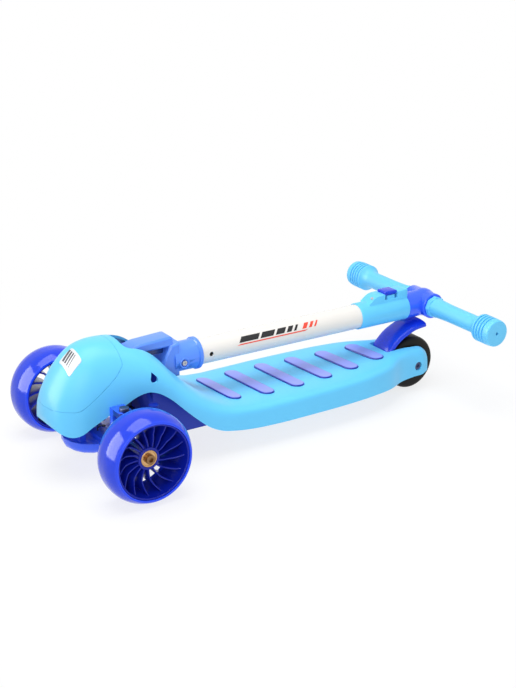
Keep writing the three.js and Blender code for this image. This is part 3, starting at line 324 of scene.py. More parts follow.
def skin_at(x, y):
    """The height of the moulding's outer skin over a place, and the place's share of the half width."""
    half, foot, crown, square = rows_at([(x - DECK_LOW.x) / REACH])[0][1:]
    share = min(abs(y) / (half * HALF_WIDTH), 1)
    return foot * CROWN + (crown - foot) * CROWN * (1 - share ** square) ** (1 / square), share


AXLE_X = sum(corner.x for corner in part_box("front_tread_left")) / 2
REAR_LOW, REAR_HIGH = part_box("rear_tyre")
REAR_X, REAR_Z = (REAR_LOW.x + REAR_HIGH.x) / 2, REAR_HIGH.z / 2
BEHIND = -0.3
SLOT_REAR, SLOT_FRONT, SLOT_HALF, SLOT_CORNER = 0.122, 0.027, 0.030, 0.014
FORK_INNER = REAR_HIGH.y + 0.003
WHEEL_SLOT_FRONT, WHEEL_SLOT_CORNER = REAR_HIGH.x + 0.010, 0.004
RIB, RIB_LIFT, RIB_FIRST, RIB_PITCH, RIB_COUNT, RIB_SPACING = 0.0022, 0.003, 0.203, 0.084, 3, 0.026
FENDER_PIN = sum(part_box("fender_pin"), Vector()) / 2
PIN_HOLE, PIN_REACH = 0.0028, 0.027
FORK_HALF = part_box("rear_axle_bolt")[1].y + 0.0003
RECESS_RADIUS, RECESS_DEPTH, AXLE_HOLE = 0.0065, 0.005, 0.0043
DROP_X, DROP_Z, DROP_RADIUS, DROP_INNER = AXLE_X - 0.052, 0.127, 0.0048, 0.030
DROP_TIP, DROP_LEAN = 0.0092, 0.002
# The hood's seam from the side: shares of the cowl's reach past the axle, and of its height.
SEAM_SHARES = [
    (-0.2, 1.1, 0), (-0.22, 0.87, 0.05), (-0.105, 0.808, 0.05), (0, 0.767, 0.05), (0.2, 0.698, 0.08),
    (0.447, 0.616, 0.08), (0.566, 0.578, 0.04), (0.66, 0.566, 0.04), (0.87, 0.572, 0.08), (1.2, 0.58, 0),
    (1.2, 1.1, 0),
]
NOSE_REACH = DECK_HIGH.x - AXLE_X


def hood_region(name, shift):
    """All that lies ahead of and above the hood's seam, moved back and down by a shift."""
    corners = [
        (AXLE_X + a * NOSE_REACH - shift, b * CROWN - shift, rounding * NOSE_REACH)
        for a, b, rounding in SEAM_SHARES
    ]
    return prism(name, rounded(corners, 6), -HALF_WIDTH, HALF_WIDTH, "y")


def drop_hole(side):
    """A hole in the form of a drop, its tip up, through one side of the cowl."""
    tip = math.atan2(DROP_TIP, DROP_LEAN)
    shoulder = math.acos(DROP_RADIUS / math.hypot(DROP_TIP, DROP_LEAN))
    turns = np.linspace(tip + shoulder, tip + 2 * math.pi - shoulder, 28)
    shape = [(DROP_X + DROP_RADIUS * math.cos(t), DROP_Z + DROP_RADIUS * math.sin(t)) for t in turns]
    shape.append((DROP_X + DROP_LEAN, DROP_Z + DROP_TIP))
    return prism("drop_hole", shape, side * DROP_INNER, side * HALF_WIDTH, "y")


STRIP_FIRST, STRIP_TAIL_ROOM = 0.185, 0.0255
STRIP_HALVES = [0.56, 0.64, 0.64, 0.6, 0.53, 0.45]
STRIP_RADIUS, STRIP_SLANT = 0.0104, 0.003
STRIP_PITCH = (AXLE_X - WHEEL_SLOT_FRONT - STRIP_TAIL_ROOM - STRIP_FIRST) / (len(STRIP_HALVES) - 1)


def pad(name, number, levels):
    """A capsule that follows the deck: each level is (inset of the outline, height over the deck)."""
    middle = AXLE_X - STRIP_FIRST - number * STRIP_PITCH
    reach = STRIP_HALVES[number] * HALF_WIDTH - STRIP_RADIUS
    half_turn = np.linspace(0, math.pi, 17)
    straight = np.linspace(reach, -reach, 13)[1:-1]
    rings = []
    for inset, height in levels:
        radius = STRIP_RADIUS - inset
        flat = [(radius * math.cos(a), reach + radius * math.sin(a)) for a in half_turn]
        flat += [(-radius, y) for y in straight]
        flat += [(-radius * math.cos(a), -reach - radius * math.sin(a)) for a in half_turn]
        flat += [(radius, y) for y in straight[::-1]]
        slanted_x = [middle + a - STRIP_SLANT * y / reach for a, y in flat]
        rings.append([(x, y, skin_at(x, y)[0] + height) for x, (a, y) in zip(slanted_x, flat)])
    rings = np.array(rings)
    count, size = rings.shape[:2]
    faces = bands(count, size)
    end = (len(half_turn) - 1) // 2
    for start in (0, (count - 1) * size):
        for i in range(size // 2):
            across = dict.fromkeys((end + k) % size for k in (-i - 1, -i, i, i + 1))
            faces.append(tuple(start + c for c in across))
    return placed(name, rings.reshape(-1, 3), faces)


HOLLOW_DROP, HOLLOW_FIRST, HOLLOW_LAST, RIBS_FIRST = 0.07, 0.096, 0.983, 0.046


def moulding_shell(name):
    return carved(moulding(name), moulding("hollow", -WALL, HOLLOW_DROP, HOLLOW_FIRST, HOLLOW_LAST, 120, 30))


deck = moulding_shell("deck_moulding")
rib_room = moulding("rib_room", -WALL / 2, 0, RIBS_FIRST, 1, 80, 24, RIB_LIFT)
rib_x = [AXLE_X - RIB_FIRST - i * RIB_PITCH for i in range(RIB_COUNT)]
ribs = [prism("rib", box_outline(x - RIB, -HALF_WIDTH, x, HALF_WIDTH), 0, CROWN, "z") for x in rib_x]
ribs += [
    prism("rib", box_outline(WHEEL_SLOT_FRONT, y - RIB / 2, rib_x[0], y + RIB / 2), 0, CROWN, "z")
    for y in (-RIB_SPACING, RIB_SPACING)
]
joined(deck, carved(joined(*ribs), rib_room, operation="INTERSECT"))
column_slot = box_outline(AXLE_X - SLOT_REAR, -SLOT_HALF, AXLE_X - SLOT_FRONT, SLOT_HALF, SLOT_CORNER)
wheel_slot = box_outline(BEHIND, -FORK_INNER, WHEEL_SLOT_FRONT, FORK_INNER, WHEEL_SLOT_CORNER)
carved(
    deck,
    hood_region("hood_room", SEAM),
    prism("column_slot", column_slot, CROWN / 3, CROWN + WALL, "z"),
    prism("wheel_slot", wheel_slot, 0, CROWN, "z"),
    prism("axle_hole", circle(REAR_X, REAR_Z, AXLE_HOLE), -HALF_WIDTH, HALF_WIDTH, "y"),
    prism("pin_hole", circle(FENDER_PIN.x, FENDER_PIN.z, PIN_HOLE), -PIN_REACH, PIN_REACH, "y"),
    drop_hole(1),
    drop_hole(-1),
)
for side in (1, -1):
    recess = circle(REAR_X, REAR_Z, RECESS_RADIUS)
    carved(deck, prism("recess", recess, side * (FORK_HALF - RECESS_DEPTH), side * HALF_WIDTH, "y"))
POCKET_GAP, POCKET_DEPTH, POCKET_TOP = 0.0003, 0.002, 0.004
for number in range(len(STRIP_HALVES)):
    carved(deck, pad("pocket", number, [(-POCKET_GAP, -POCKET_DEPTH), (-POCKET_GAP, POCKET_TOP)]))
sky_plastic = moulded("sky plastic", SKY_BLUE, 0.36, shine=0.28)
finished(deck, sky_plastic, "sky_plastic", "deck_cowl", crease=38)

# Nose hood
# The front of the cowl is a second sky-blue moulding, clipped on along a fine seam.
# A pale label with plain slanted bars is stuck on its brow.

hood = carved(moulding_shell("nose_hood_moulding"), hood_region("hood_part", 0), operation="INTERSECT")
finished(hood, sky_plastic, "sky_plastic", "nose_hood", crease=38)

LABEL_X, LABEL_Y = 0.2815, 0.0115
LABEL_HALF_LENGTH, LABEL_HALF_WIDTH, LABEL_CORNER, LABEL_LIFT = 0.0095, 0.014, 0.003, 0.0006
INK_HALF_LENGTH, INK_SLANT, INK_LIFT = 0.0065, 0.002, 0.0009
INK_BARS = ((-0.0118, -0.0082), (-0.006, -0.0032), (-0.001, 0.001), (0.0035, 0.0045))
LABEL_GRAIN = 0.0015
LABEL_SHARES = (0.86, 0.72, 0.58, 0.44, 0.3, 0.15)


def label(name, surface, outline, lift=0.0002):
    """A thin printed patch: an outline of (a, b) pairs laid on a surface, its edge let into it."""
    corners = np.array(outline)
    outline = []
    for corner, following in zip(corners, np.roll(corners, -1, axis=0)):
        pieces = max(1, math.ceil(np.linalg.norm(following - corner) / LABEL_GRAIN))
        outline += [corner + (following - corner) * i / pieces for i in range(pieces)]
    middle = corners.mean(axis=0)
    rings = [(1, -lift), (1, lift)] + [(share, lift) for share in LABEL_SHARES]
    points = [
        surface(*(middle + (pair - middle) * share), height) for share, height in rings for pair in outline
    ]
    points.append(surface(*middle, lift))
    size = len(outline)
    inmost = (len(rings) - 1) * size
    faces = bands(len(rings), size)
    faces += [(inmost + i, inmost + (i + 1) % size, len(points) - 1) for i in range(size)]
    faces.append(tuple(range(size)))
    return placed(name, points, faces)


def brow(a, b, lift):
    """A place on the hood's skin, a ahead of the label's middle and b to its left."""
    x, y = LABEL_X + a, LABEL_Y + b
    height, share = skin_at(x, y)
    return (x + lift / 2, y + lift * share, height + lift)


label_paper = moulded("label paper", (0.72, 0.73, 0.75), 0.3, speckle=0.02, coat=0.4)
label_ink = moulded("label ink", (0.05, 0.055, 0.07), 0.35, speckle=0.2, coat=0.4)
paper_edge = [
    (a * LABEL_HALF_LENGTH, b * LABEL_HALF_WIDTH, LABEL_CORNER)
    for a, b in ((-1, -1), (1, -1), (1, 1), (-1, 1))
]
tag = label("brow_label", brow, rounded(paper_edge, 5), LABEL_LIFT)
finished(tag, label_paper, "white_paint", body=rides_on["nose_hood"])
for number, (start, end) in enumerate(INK_BARS):
    ink = label(f"brow_label_bar_{number + 1}", brow, [
        (-INK_HALF_LENGTH, start - INK_SLANT), (INK_HALF_LENGTH, start + INK_SLANT),
        (INK_HALF_LENGTH, end + INK_SLANT), (-INK_HALF_LENGTH, end - INK_SLANT),
    ], INK_LIFT)
    finished(ink, label_ink, "navy_plastic", body=rides_on["nose_hood"])

# Grip strips
# Six glossy rubber strips let into pockets of the deck, each a little proud of it. They are cast
# in blue rubber; the lavender of their tops is a painted reflection, and their deep blue sides are
# partly painted shade.

STRIP_PAINTED_SHEEN, STRIP_BLUE_AND_PAINTED_SHADE = (0.24, 0.3, 0.97), (0.008, 0.02, 0.36)
lavender_rubber = moulded(
    "blue rubber with painted sheen", STRIP_PAINTED_SHEEN, 0.3, speckle=0.1, grain=700, depth=0.0002, coat=0.3, edge=STRIP_BLUE_AND_PAINTED_SHADE,
)
# Each level of a strip from its foot to its crown: inset, height over the deck, share of the edge
# colour, a deep blue that is partly painted shade.
STRIP_LEVELS = [
    (0.0004, -0.0016, 1), (0.0002, -0.0004, 1), (0.0002, 0.0012, 1), (0.0004, 0.0017, 1),
    (0.0009, 0.002, 0.9), (0.0014, 0.0021, 0.1), (0.003, 0.0022, 0), (0.0085, 0.0022, 0),
]


def edged(obj, domain, values):
    """Marks the points or faces taking the edge colour: painted shade on strip sides, yokes and web, painted
    light on tread lips.
    """
    obj.data.attributes.new("rim", "FLOAT", domain).data.foreach_set("value", values)


for number in range(len(STRIP_HALVES)):
    strip = pad(f"grip_strip_pad_{number + 1}", number, [level[:2] for level in STRIP_LEVELS])
    finished(strip, lavender_rubber, "lavender_rubber", f"grip_strip_{number + 1}", crease=60)
    size = len(strip.data.vertices) // len(STRIP_LEVELS)
    # The sides take the deep blue, partly as painted shade; the tops keep the lavender of the painted
    # reflection.
    edged(strip, "POINT", [level[2] for level in STRIP_LEVELS for i in range(size)])

# Under-body
# The channel and the bulkhead under the cowl, which carry the steering. They are one moulding in
# navy nylon, screwed to the deck.

navy_plastic = moulded("navy plastic", (0.016, 0.045, 0.42), 0.4, speckle=0.08, grain=800, shine=0.25)


def softened(node, material, slot, edge=0.0006, segments=2, cuts=(), bosses=()):
    """The solid with its edges rounded as they come out of a mould, less its cuts, plus its bosses."""
    skin = bmesh.new()
    skin.from_mesh(frame["nodes"][node].data)
    bmesh.ops.remove_doubles(skin, verts=skin.verts, dist=1e-6)
    bmesh.ops.dissolve_limit(skin, angle_limit=math.radians(0.6), verts=skin.verts, edges=skin.edges)
    mesh = bpy.data.meshes.new(node + "_finished")
    skin.to_mesh(mesh)
    skin.free()
    obj = in_scene(node + "_finished", mesh)
    round_off = obj.modifiers.new("round", "BEVEL")
    round_off.width = edge
    round_off.segments = segments
    round_off.limit_method = "ANGLE"
    round_off.angle_limit = math.radians(CREASE)
    applied(obj)
    carved(obj, *cuts)
    joined(obj, *bosses)
    return finished(obj, material, slot, node)


softened("base_frame", navy_plastic, "navy_plastic")

# Front axle and steering
# Glass-filled nylon in royal blue: the axle carrier, the leaning head and the two knuckles. The
# carrier's tray is a brighter royal, partly as painted light; its yokes, the head and the knuckles
# are a deeper blue as painted shade. Tie rod, kingpins and lean shaft are steel in dark zinc.

ROYAL_PAINTED_SHADE, BRIGHT_ROYAL = (0.005, 0.022, 0.34), (0.03, 0.12, 0.95)
NYLON_GRAIN = {"speckle": 0.08, "grain": 800, "depth": 0.0001}
shade_painted_plastic = moulded("royal plastic painted as shade", ROYAL_PAINTED_SHADE, 0.34, coat=0.1, shine=0.15, **NYLON_GRAIN)
bright_royal = moulded(
    "bright royal plastic", BRIGHT_ROYAL, 0.24, speckle=0.06, grain=800, depth=0.0001,
    coat=0.4, shine=0.3, edge=ROYAL_PAINTED_SHADE,
)
YOKE_INNER = 0.07
carrier = softened("axle_carrier", bright_royal, "royal_plastic", edge=0.0008)
# The yokes take the deeper blue as painted shade; the tray's brighter royal is partly painted light.
edged(carrier, "FACE", [float(abs(face.center.y) > YOKE_INNER) for face in carrier.data.polygons])
# The head and the knuckles are a deeper blue as painted shade.
for node in ("steering_head", "knuckle_left", "knuckle_right"):
    softened(node, shade_painted_plastic, "royal_plastic", edge=0.0008)


def plated(name, colour, roughness, streaks):
    """Plated steel: fine streaks in the gloss and a faint tarnish."""
    material, tree, shader = blank(name)
    place = added(tree, "ShaderNodeTexCoord")["Object"]
    grain = noise(tree, place, streaks, Detail=5)
    gloss = ranged(tree, grain, roughness * 0.7, roughness * 1.3)
    bumps = {"Height": grain, "Strength": 0.15, "Distance": 0.0001}
    wired(tree, shader, {
        "Metallic": 1, "Roughness": gloss, "Normal": added(tree, "ShaderNodeBump", bumps)["Normal"],
        "Base Color": mixed(tree, grain, (*(c * 0.75 for c in colour), 1), (*colour, 1)),
    })
    return material


dark_zinc = plated("dark zinc", (0.1, 0.12, 0.22), 0.38, 260)
for node in ("tie_rod", "kingpin_left", "kingpin_right", "lean_shaft", "lever_pin", "fold_pin"):
    softened(node, dark_zinc, "steel", edge=0.0004)

# Springs
# Music wire wound cold: a dark pair between the axle carrier and the steering head brings the
# column back upright, and a small bright one round the fender's pin lifts the brake off the wheel.


def sockets(tree, **kinds):
    """Names a tree's inputs and gives it one geometry output."""
    for name, kind in kinds.items():
        tree.interface.new_socket(name, in_out="INPUT", socket_type="NodeSocket" + kind)
    tree.interface.new_socket("Geometry", in_out="OUTPUT", socket_type="NodeSocketGeometry")
    return tree.nodes.new("NodeGroupInput").outputs, tree.nodes.new("NodeGroupOutput").inputs


def closed_with(tree, geometry, finish, out):
    """Every tree ends alike: instances made real, then the finish set on all of it."""
    real = added(tree, "GeometryNodeRealizeInstances", {"Geometry": geometry})["Geometry"]
    coat = added(tree, "GeometryNodeSetMaterial", {"Geometry": real, "Material": finish})["Geometry"]
    tree.links.new(coat, out["Geometry"])


def grown(obj, tree, **values):
    """Runs a tree on an object with its named inputs and keeps the plain mesh that it makes."""
    growth = obj.modifiers.new("grow", "NODES")
    growth.node_group = tree
    for socket in tree.interface.items_tree:
        if socket.in_out == "INPUT" and socket.name in values:
            growth[socket.identifier] = values[socket.name]
    return applied(obj)


wire_tree = bpy.data.node_groups.new("wound wire", "GeometryNodeTree")
given, out = sockets(
    wire_tree, Geometry="Geometry", Radius="Float", Wire="Float", Turns="Float", Length="Float",
    Finish="Material",
)
spiral = added(wire_tree, "GeometryNodeCurveSpiral", {
    "Resolution": 40, "Rotations": given["Turns"], "Height": given["Length"],
    "Start Radius": given["Radius"], "End Radius": given["Radius"],
})["Curve"]
section = added(wire_tree, "GeometryNodeCurvePrimitiveCircle", {
    "Resolution": 12, "Radius": given["Wire"],
})["Curve"]
swept = added(wire_tree, "GeometryNodeCurveToMesh", {
    "Curve": spiral, "Profile Curve": section, "Fill Caps": True,
})["Mesh"]
closed_with(wire_tree, swept, given["Finish"], out)


def spring(node, wire, turns, axis, steel, far_body=None):
    """A wound spring; given a far body, it is only baked where it stands and rides with no body."""
    low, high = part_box(node)
    along = "xyz".index(axis)
    radius, length = (high.x - low.x) / 2 - wire, high[along] - low[along] - 2 * wire
    obj = placed(node + "_wound", [(0, 0, 0)], [])
    grown(obj, wire_tree, Radius=radius, Wire=wire, Turns=turns, Length=length, Finish=steel)
    turn = Matrix.Rotation(-math.pi / 2, 4, "X") if axis == "y" else Matrix.Identity(4)
    foot, top = (low + high) / 2, (low + high) / 2
    foot[along] -= length / 2
    top[along] += length / 2
    obj.data.transform(Matrix.Translation(foot) @ turn)
    bends = (rides_on[node], far_body, foot, top) if far_body else None
    return finished(obj, None, "steel", node, crease=60, bends=bends)


for side in ("left", "right"):
    spring(f"centring_spring_{side}", 0.0011, 5.0, "z", dark_zinc, rides_on["steering_head"])

# Front wheels
# A clear blue polyurethane tread is cast round a moulded hub whose curved fins run from boss to
# rim. Each hub turns on two sealed bearings, held by a socket-head bolt.

WHEEL_Y, AXLE_Z = 0.128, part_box("front_tread_left")[1].z / 2
BEARING_RADIUS, BEARING_WIDTH, BORE, BEARING_GAP, SEAT_STEP = 0.011, 0.007, 0.0043, 0.0003, 0.002
BEARING_SET_IN, OUTER_FACE = 0.022, 0.0107
TREAD_BORE, TREAD_LIP, TREAD_SLOPE, TREAD_ROUND, TREAD_HALF = 0.050, 0.0025, 0.012, 0.010, 0.025
LIP_PAINTED_LIGHT_REACH = 0.0045
RIM_OUTER, RIM_INNER, RIM_HALF, BOSS = 0.0497, 0.0472, 0.0235, 0.015
FIN_COUNT, FIN_THICK, FIN_SWIRL, FIN_LOW = 16, 0.0024, 0.3, -0.020
FIN_HIGH = [(0.0, 0.009), (0.5, 0.007), (0.9, 0.0135), (1.0, 0.0155)]

# The treads' lighter lip blue is painted light.
TREAD_BLUE, TREAD_LIP_PAINTED_LIGHT, HUB_BLUE = (0.008, 0.045, 0.68), (0.02, 0.08, 1.0), (0.004, 0.014, 0.34)
clear_tread = moulded(
    "clear blue tread", TREAD_BLUE, 0.16, speckle=0.12, grain=240, depth=0.00008,
    coat=0.45, scuffs=0.08, shine=0.12, edge=TREAD_LIP_PAINTED_LIGHT,
)
clear_hub = moulded(
    "clear blue hub", HUB_BLUE, 0.2, speckle=0.1, grain=240, depth=0.00008,
    coat=0.15, scuffs=0.05, shine=0.2,
)
zinc = plated("zinc steel", (0.62, 0.63, 0.66), 0.3, 220)
bronze = plated("bronze", (0.72, 0.44, 0.2), 0.28, 260)
oiled_bronze = plated("oiled bronze", (0.3, 0.17, 0.08), 0.3, 300)


def turned(name, profile, centre, axis, steps=72, side=1):
    """A closed profile of (radius, place along the axis) revolved about a centre; side -1 mirrors it."""
    rings = []
    for t in np.linspace(0, 2 * math.pi, steps, endpoint=False):
        a, b = math.cos(t), math.sin(t)
        if axis == "y":
            ring = [(r * a, side * along, r * b) for r, along in profile]
        else:
            ring = [(side * along, r * a, r * b) for r, along in profile]
        rings.append(np.array(ring) + np.array(centre))
    return lofted(name, rings, closed_ends=False)


fin_tree = bpy.data.node_groups.new("fins round an axle", "GeometryNodeTree")
given, out = sockets(fin_tree, Geometry="Geometry", Fins="Int", Finish="Material")
stations = added(fin_tree, "GeometryNodeMeshLine", {"Offset": (0, 0, 0), "Count": given["Fins"]})["Mesh"]
number = added(fin_tree, "GeometryNodeInputIndex")["Index"]
pitch = maths(fin_tree, "DIVIDE", 2 * math.pi, given["Fins"])
turn = maths(fin_tree, "MULTIPLY", number, pitch)
copies = added(fin_tree, "GeometryNodeInstanceOnPoints", {
    "Points": stations, "Instance": given["Geometry"],
    "Rotation": added(fin_tree, "ShaderNodeCombineXYZ", {"Y": turn})["Vector"],
})["Instances"]
closed_with(fin_tree, copies, given["Finish"], out)


def fin(name, side):
    """One curved blade from the boss to the rim, its outer edge rounded and dished."""
    half = FIN_THICK / 2
    rings = []
    for share in np.linspace(0, 1, 15):
        radius = BOSS - 0.0008 + share * (RIM_INNER + 0.001 - BOSS)
        swirl = FIN_SWIRL * share ** 1.5
        top = np.interp(share, *zip(*FIN_HIGH))
        section = [
            (-half, FIN_LOW), (half, FIN_LOW), (half, top - 0.001), (half * 0.75, top - 0.0003),
            (half * 0.3, top), (-half * 0.3, top), (-half * 0.75, top - 0.0003), (-half, top - 0.001),
        ]
        out_x, out_z = math.sin(swirl), math.cos(swirl)
        rings.append([
            (radius * out_x + across * out_z, side * along, radius * out_z - across * out_x)
            for across, along in section
        ])
    return lofted(name, rings)


for name, side in (("left", 1), ("right", -1)):
    centre = (AXLE_X, side * WHEEL_Y, AXLE_Z)
    tread = turned(f"front_tread_cast_{name}", rounded([
        (TREAD_BORE, -TREAD_HALF, 0), (TREAD_BORE + TREAD_LIP, -TREAD_HALF, 0.0008),
        (AXLE_Z, TREAD_SLOPE - TREAD_HALF, TREAD_ROUND), (AXLE_Z, TREAD_HALF - TREAD_SLOPE, TREAD_ROUND),
        (TREAD_BORE + TREAD_LIP, TREAD_HALF, 0.0008), (TREAD_BORE, TREAD_HALF, 0),
    ], 14), centre, "y", 144)
    finished(tread, clear_tread, "blue_tread", f"front_tread_{name}", crease=50)
    # The lip of each tread is painted a lighter blue, as light caught at its clear edge.
    edged(tread, "POINT", [
        max(0, 1 - (math.hypot(v.co.x - AXLE_X, v.co.z - AXLE_Z) - TREAD_BORE) / LIP_PAINTED_LIGHT_REACH)
        for v in tread.data.vertices
    ])

    seat = BEARING_RADIUS + BEARING_GAP
    outer_seat = OUTER_FACE - BEARING_WIDTH - BEARING_GAP
    inner_seat = BEARING_WIDTH - BEARING_SET_IN + BEARING_GAP
    boss = turned(f"front_hub_moulded_{name}", rounded([
        (seat, -BEARING_SET_IN, 0), (BOSS, -BEARING_SET_IN, 0.0008), (BOSS, OUTER_FACE, 0.0012),
        (seat, OUTER_FACE, 0.0004), (seat, outer_seat, 0), (seat - SEAT_STEP, outer_seat, 0),
        (seat - SEAT_STEP, inner_seat, 0), (seat, inner_seat, 0),
    ], 6), (0, 0, 0), "y", 96, side)
    rim = turned("rim", rounded([
        (RIM_INNER, -RIM_HALF, 0.0006), (RIM_OUTER, -RIM_HALF, 0.0006),
        (RIM_OUTER, RIM_HALF, 0.0006), (RIM_INNER, RIM_HALF, 0.0012),
    ], 6), (0, 0, 0), "y", 144)
    hub = joined(boss, rim, grown(fin("fins", side), fin_tree, Fins=FIN_COUNT, Finish=clear_hub))
    hub.data.transform(Matrix.Translation(centre))
    finished(hub, clear_hub, "blue_hub", f"front_hub_{name}")


INNER_RACE, OUTER_RACE, SHIELD_LOW, SHIELD_HIGH, SHIELD_SUNK = 0.0061, 0.0095, 0.0064, 0.0091, 0.0006


def bearing(name, node, material, slot):
    """A sealed bearing: two races with a dished shield between them."""
    half = BEARING_WIDTH / 2
    shield = half - SHIELD_SUNK
    face = [(BORE, half), (INNER_RACE, half), (SHIELD_LOW, shield), (SHIELD_HIGH, shield), (OUTER_RACE, half)]
    profile = rounded([
        *((r, along, 0) for r, along in face), (BEARING_RADIUS, half, 0.0005),
        (BEARING_RADIUS, -half, 0.0005), *((r, -along, 0) for r, along in face[::-1]),
    ], 4)
    obj = turned(name, profile, sum(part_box(node), Vector()) / 2, "y")
    return finished(obj, material, slot, node, crease=30)


BOLT_SHANK, BOLT_HEAD_FROM = 0.004, 0.139
SOCKET_RADIUS, SOCKET_DEPTH, SOCKET_OVER = 0.0034, 0.003, 0.002


def socket_bolt(name, node, material):
    """A bolt on the wheel's axis with a hexagon sunk in its round head."""
    low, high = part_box(node)
    centre = ((low.x + high.x) / 2, 0, (low.z + high.z) / 2)
    side = 1 if high.y + low.y > 0 else -1
    start, end = sorted((abs(low.y), abs(high.y)))
    head = (high.x - low.x) / 2
    profile = rounded([
        (0, start, 0), (BOLT_SHANK, start, 0.0005), (BOLT_SHANK, BOLT_HEAD_FROM, 0),
        (head, BOLT_HEAD_FROM, 0.0003), (head, end, 0.0008), (0, end, 0),
    ], 5)
    obj = turned(name, profile, centre, "y", 60, side)
    socket = circle(centre[0], centre[2], SOCKET_RADIUS, 6)
    carved(obj, prism("socket", socket, side * (end - SOCKET_DEPTH), side * (end + SOCKET_OVER), "y"))
    return finished(obj, material, "steel", node)


for side in ("left", "right"):
    bearing(f"outer_race_{side}", f"outer_bearing_{side}", bronze, "bronze")
    bearing(f"inner_race_{side}", f"inner_bearing_{side}", zinc, "steel")
    socket_bolt(f"axle_bolt_turned_{side}", f"axle_bolt_{side}", oiled_bronze)

# Folding elbow
# A satin moulded elbow carries the column's socket and turns on the fold pin between the cheeks
# of the steering head; the sides of the web under its arm are painted dark blue as shade. The lever
# lets the column go.

ELBOW_BLUE, WEB_PAINTED_SHADE, WEB_HALF = (0.09, 0.27, 0.95), (0.008, 0.04, 0.2), 0.005
elbow_plastic = moulded(
    "elbow plastic", ELBOW_BLUE, 0.3, speckle=0.06, grain=800, depth=0.0001, coat=0.2, edge=WEB_PAINTED_SHADE,
)
bolt_centre = sum(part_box("socket_bolt"), Vector()) / 2
RING_INNER, RING_OUTER, RING_ROOT, RING_TOP = 0.0053, 0.0074, 0.0165, 0.0206
bolt_middle = (bolt_centre.x, 0, bolt_centre.z)
ring_outline = rounded([
    (RING_INNER, RING_ROOT, 0), (RING_OUTER, RING_ROOT, 0),
    (RING_OUTER, RING_TOP, 0.0008), (RING_INNER, RING_TOP, 0.0005),
], 5)
rings = [turned("screw_ring", ring_outline, bolt_middle, "y", 48, side) for side in (1, -1)]
elbow = softened("fold_elbow", elbow_plastic, "elbow_plastic", edge=0.0012, segments=3, bosses=rings)
# The sides of the web under the arm take a dark blue as painted shade.
edged(elbow, "FACE", [float(abs(abs(face.center.y) - WEB_HALF) < 0.0002) for face in elbow.data.polygons])
royal_plastic = moulded("royal plastic", (0.008, 0.045, 0.66), 0.26, coat=0.3, shine=0.2, **NYLON_GRAIN)
softened("fold_lever", royal_plastic, "royal_plastic")

screw_tree = bpy.data.node_groups.new("cross-head screws", "GeometryNodeTree")
given, out = sockets(screw_tree, Geometry="Geometry", Radius="Float", Finish="Material")


def share_of_radius(share):
    """A length that is a share of the screw's radius."""
    return maths(screw_tree, "MULTIPLY", given["Radius"], share)


def cross_arm(across, along):
    """One arm of the cross that is sunk in the screw's head."""
    size = added(screw_tree, "ShaderNodeCombineXYZ", {
        "X": share_of_radius(across), "Y": share_of_radius(along), "Z": share_of_radius(0.6),
    })["Vector"]
    height = added(screw_tree, "ShaderNodeCombineXYZ", {"Z": share_of_radius(0.56)})["Vector"]
    arm = added(screw_tree, "GeometryNodeMeshCube", {"Size": size})["Mesh"]
    return added(screw_tree, "GeometryNodeTransform", {"Geometry": arm, "Translation": height})["Geometry"]


head = added(screw_tree, "GeometryNodeMeshCone", {
    "Vertices": 28, "Radius Top": share_of_radius(0.8), "Radius Bottom": given["Radius"],
    "Depth": share_of_radius(0.55),
})["Mesh"]
recess = added(screw_tree, "GeometryNodeMeshBoolean", {
    "Mesh 1": head, "Mesh 2": [cross_arm(1.15, 0.3), cross_arm(0.3, 1.15)],
}, operation="DIFFERENCE", solver="MANIFOLD")["Mesh"]
facing = added(screw_tree, "GeometryNodeInputNamedAttribute", {
    "Name": "facing",
}, data_type="FLOAT_VECTOR")["Attribute"]
copies = added(screw_tree, "GeometryNodeInstanceOnPoints", {
    "Points": given["Geometry"], "Instance": recess,
    "Rotation": added(screw_tree, "FunctionNodeAlignRotationToVector", {"Vector": facing})["Rotation"],
})["Instances"]
closed_with(screw_tree, copies, given["Finish"], out)


def screws(name, radius, finish, *seats):
    """Cross-head screws, each on its seat: a place and the way that it faces."""
    obj = placed(name, [place for place, way in seats], [])
    way = obj.data.attributes.new("facing", "FLOAT_VECTOR", "POINT")
    way.data.foreach_set("vector", [c for place, facing in seats for c in facing])
    return grown(obj, screw_tree, Radius=radius, Finish=finish)


def bar(name, radius, low, high, centre, axis, edge=0.0003, steps=48):
    """A solid round bar with its end edges eased."""
    profile = [
        (0, low), (radius - edge, low), (radius, low + edge),
        (radius, high - edge), (radius - edge, high), (0, high),
    ]
    return turned(name, profile, centre, axis, steps)


SCREW_RADIUS, SCREW_SEAT, SCREW_SHANK, SHANK_OVER = 0.0042, 0.0183, 0.0025, 0.0005
bolt = screws("socket_bolt_turned", SCREW_RADIUS, zinc, *(
    ((bolt_centre.x, side * SCREW_SEAT, bolt_centre.z), (0, side, 0)) for side in (1, -1)
))
reach = SCREW_SEAT + SHANK_OVER
joined(bolt, bar("shank", SCREW_SHANK, -reach, reach, bolt_middle, "y"))
finished(bolt, zinc, "steel", "socket_bolt")

# Column
# A drawn aluminium tube in white enamel slides into the elbow's socket; a steel tube slides
# inside it for height. A clamp sleeve round its end carries the press button.

TUBE_RADIUS, TUBE_WALL = 0.0175, 0.0015
stem_low, stem_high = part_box("stem_tube")
STEM_Z = (stem_low.z + stem_high.z) / 2
TUBE_AXIS = (0, 0, STEM_Z)
HOLE_X, HOLE_RADIUS, BUTTON_HOLE = 0.0775, 0.0031, 0.0034
button_low, button_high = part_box("height_button")
button_x = (button_low.x + button_high.x) / 2


def pipe(name, radius, wall, low, high, centre, axis, steps=96):
    """A tube with its end edges eased."""
    edge, bore = wall / 4, radius - wall
    profile = [
        (bore + edge, low), (radius - edge, low), (radius, low + edge), (radius, high - edge),
        (radius - edge, high), (bore + edge, high), (bore, high - edge), (bore, low + edge),
    ]
    return turned(name, profile, centre, axis, steps)


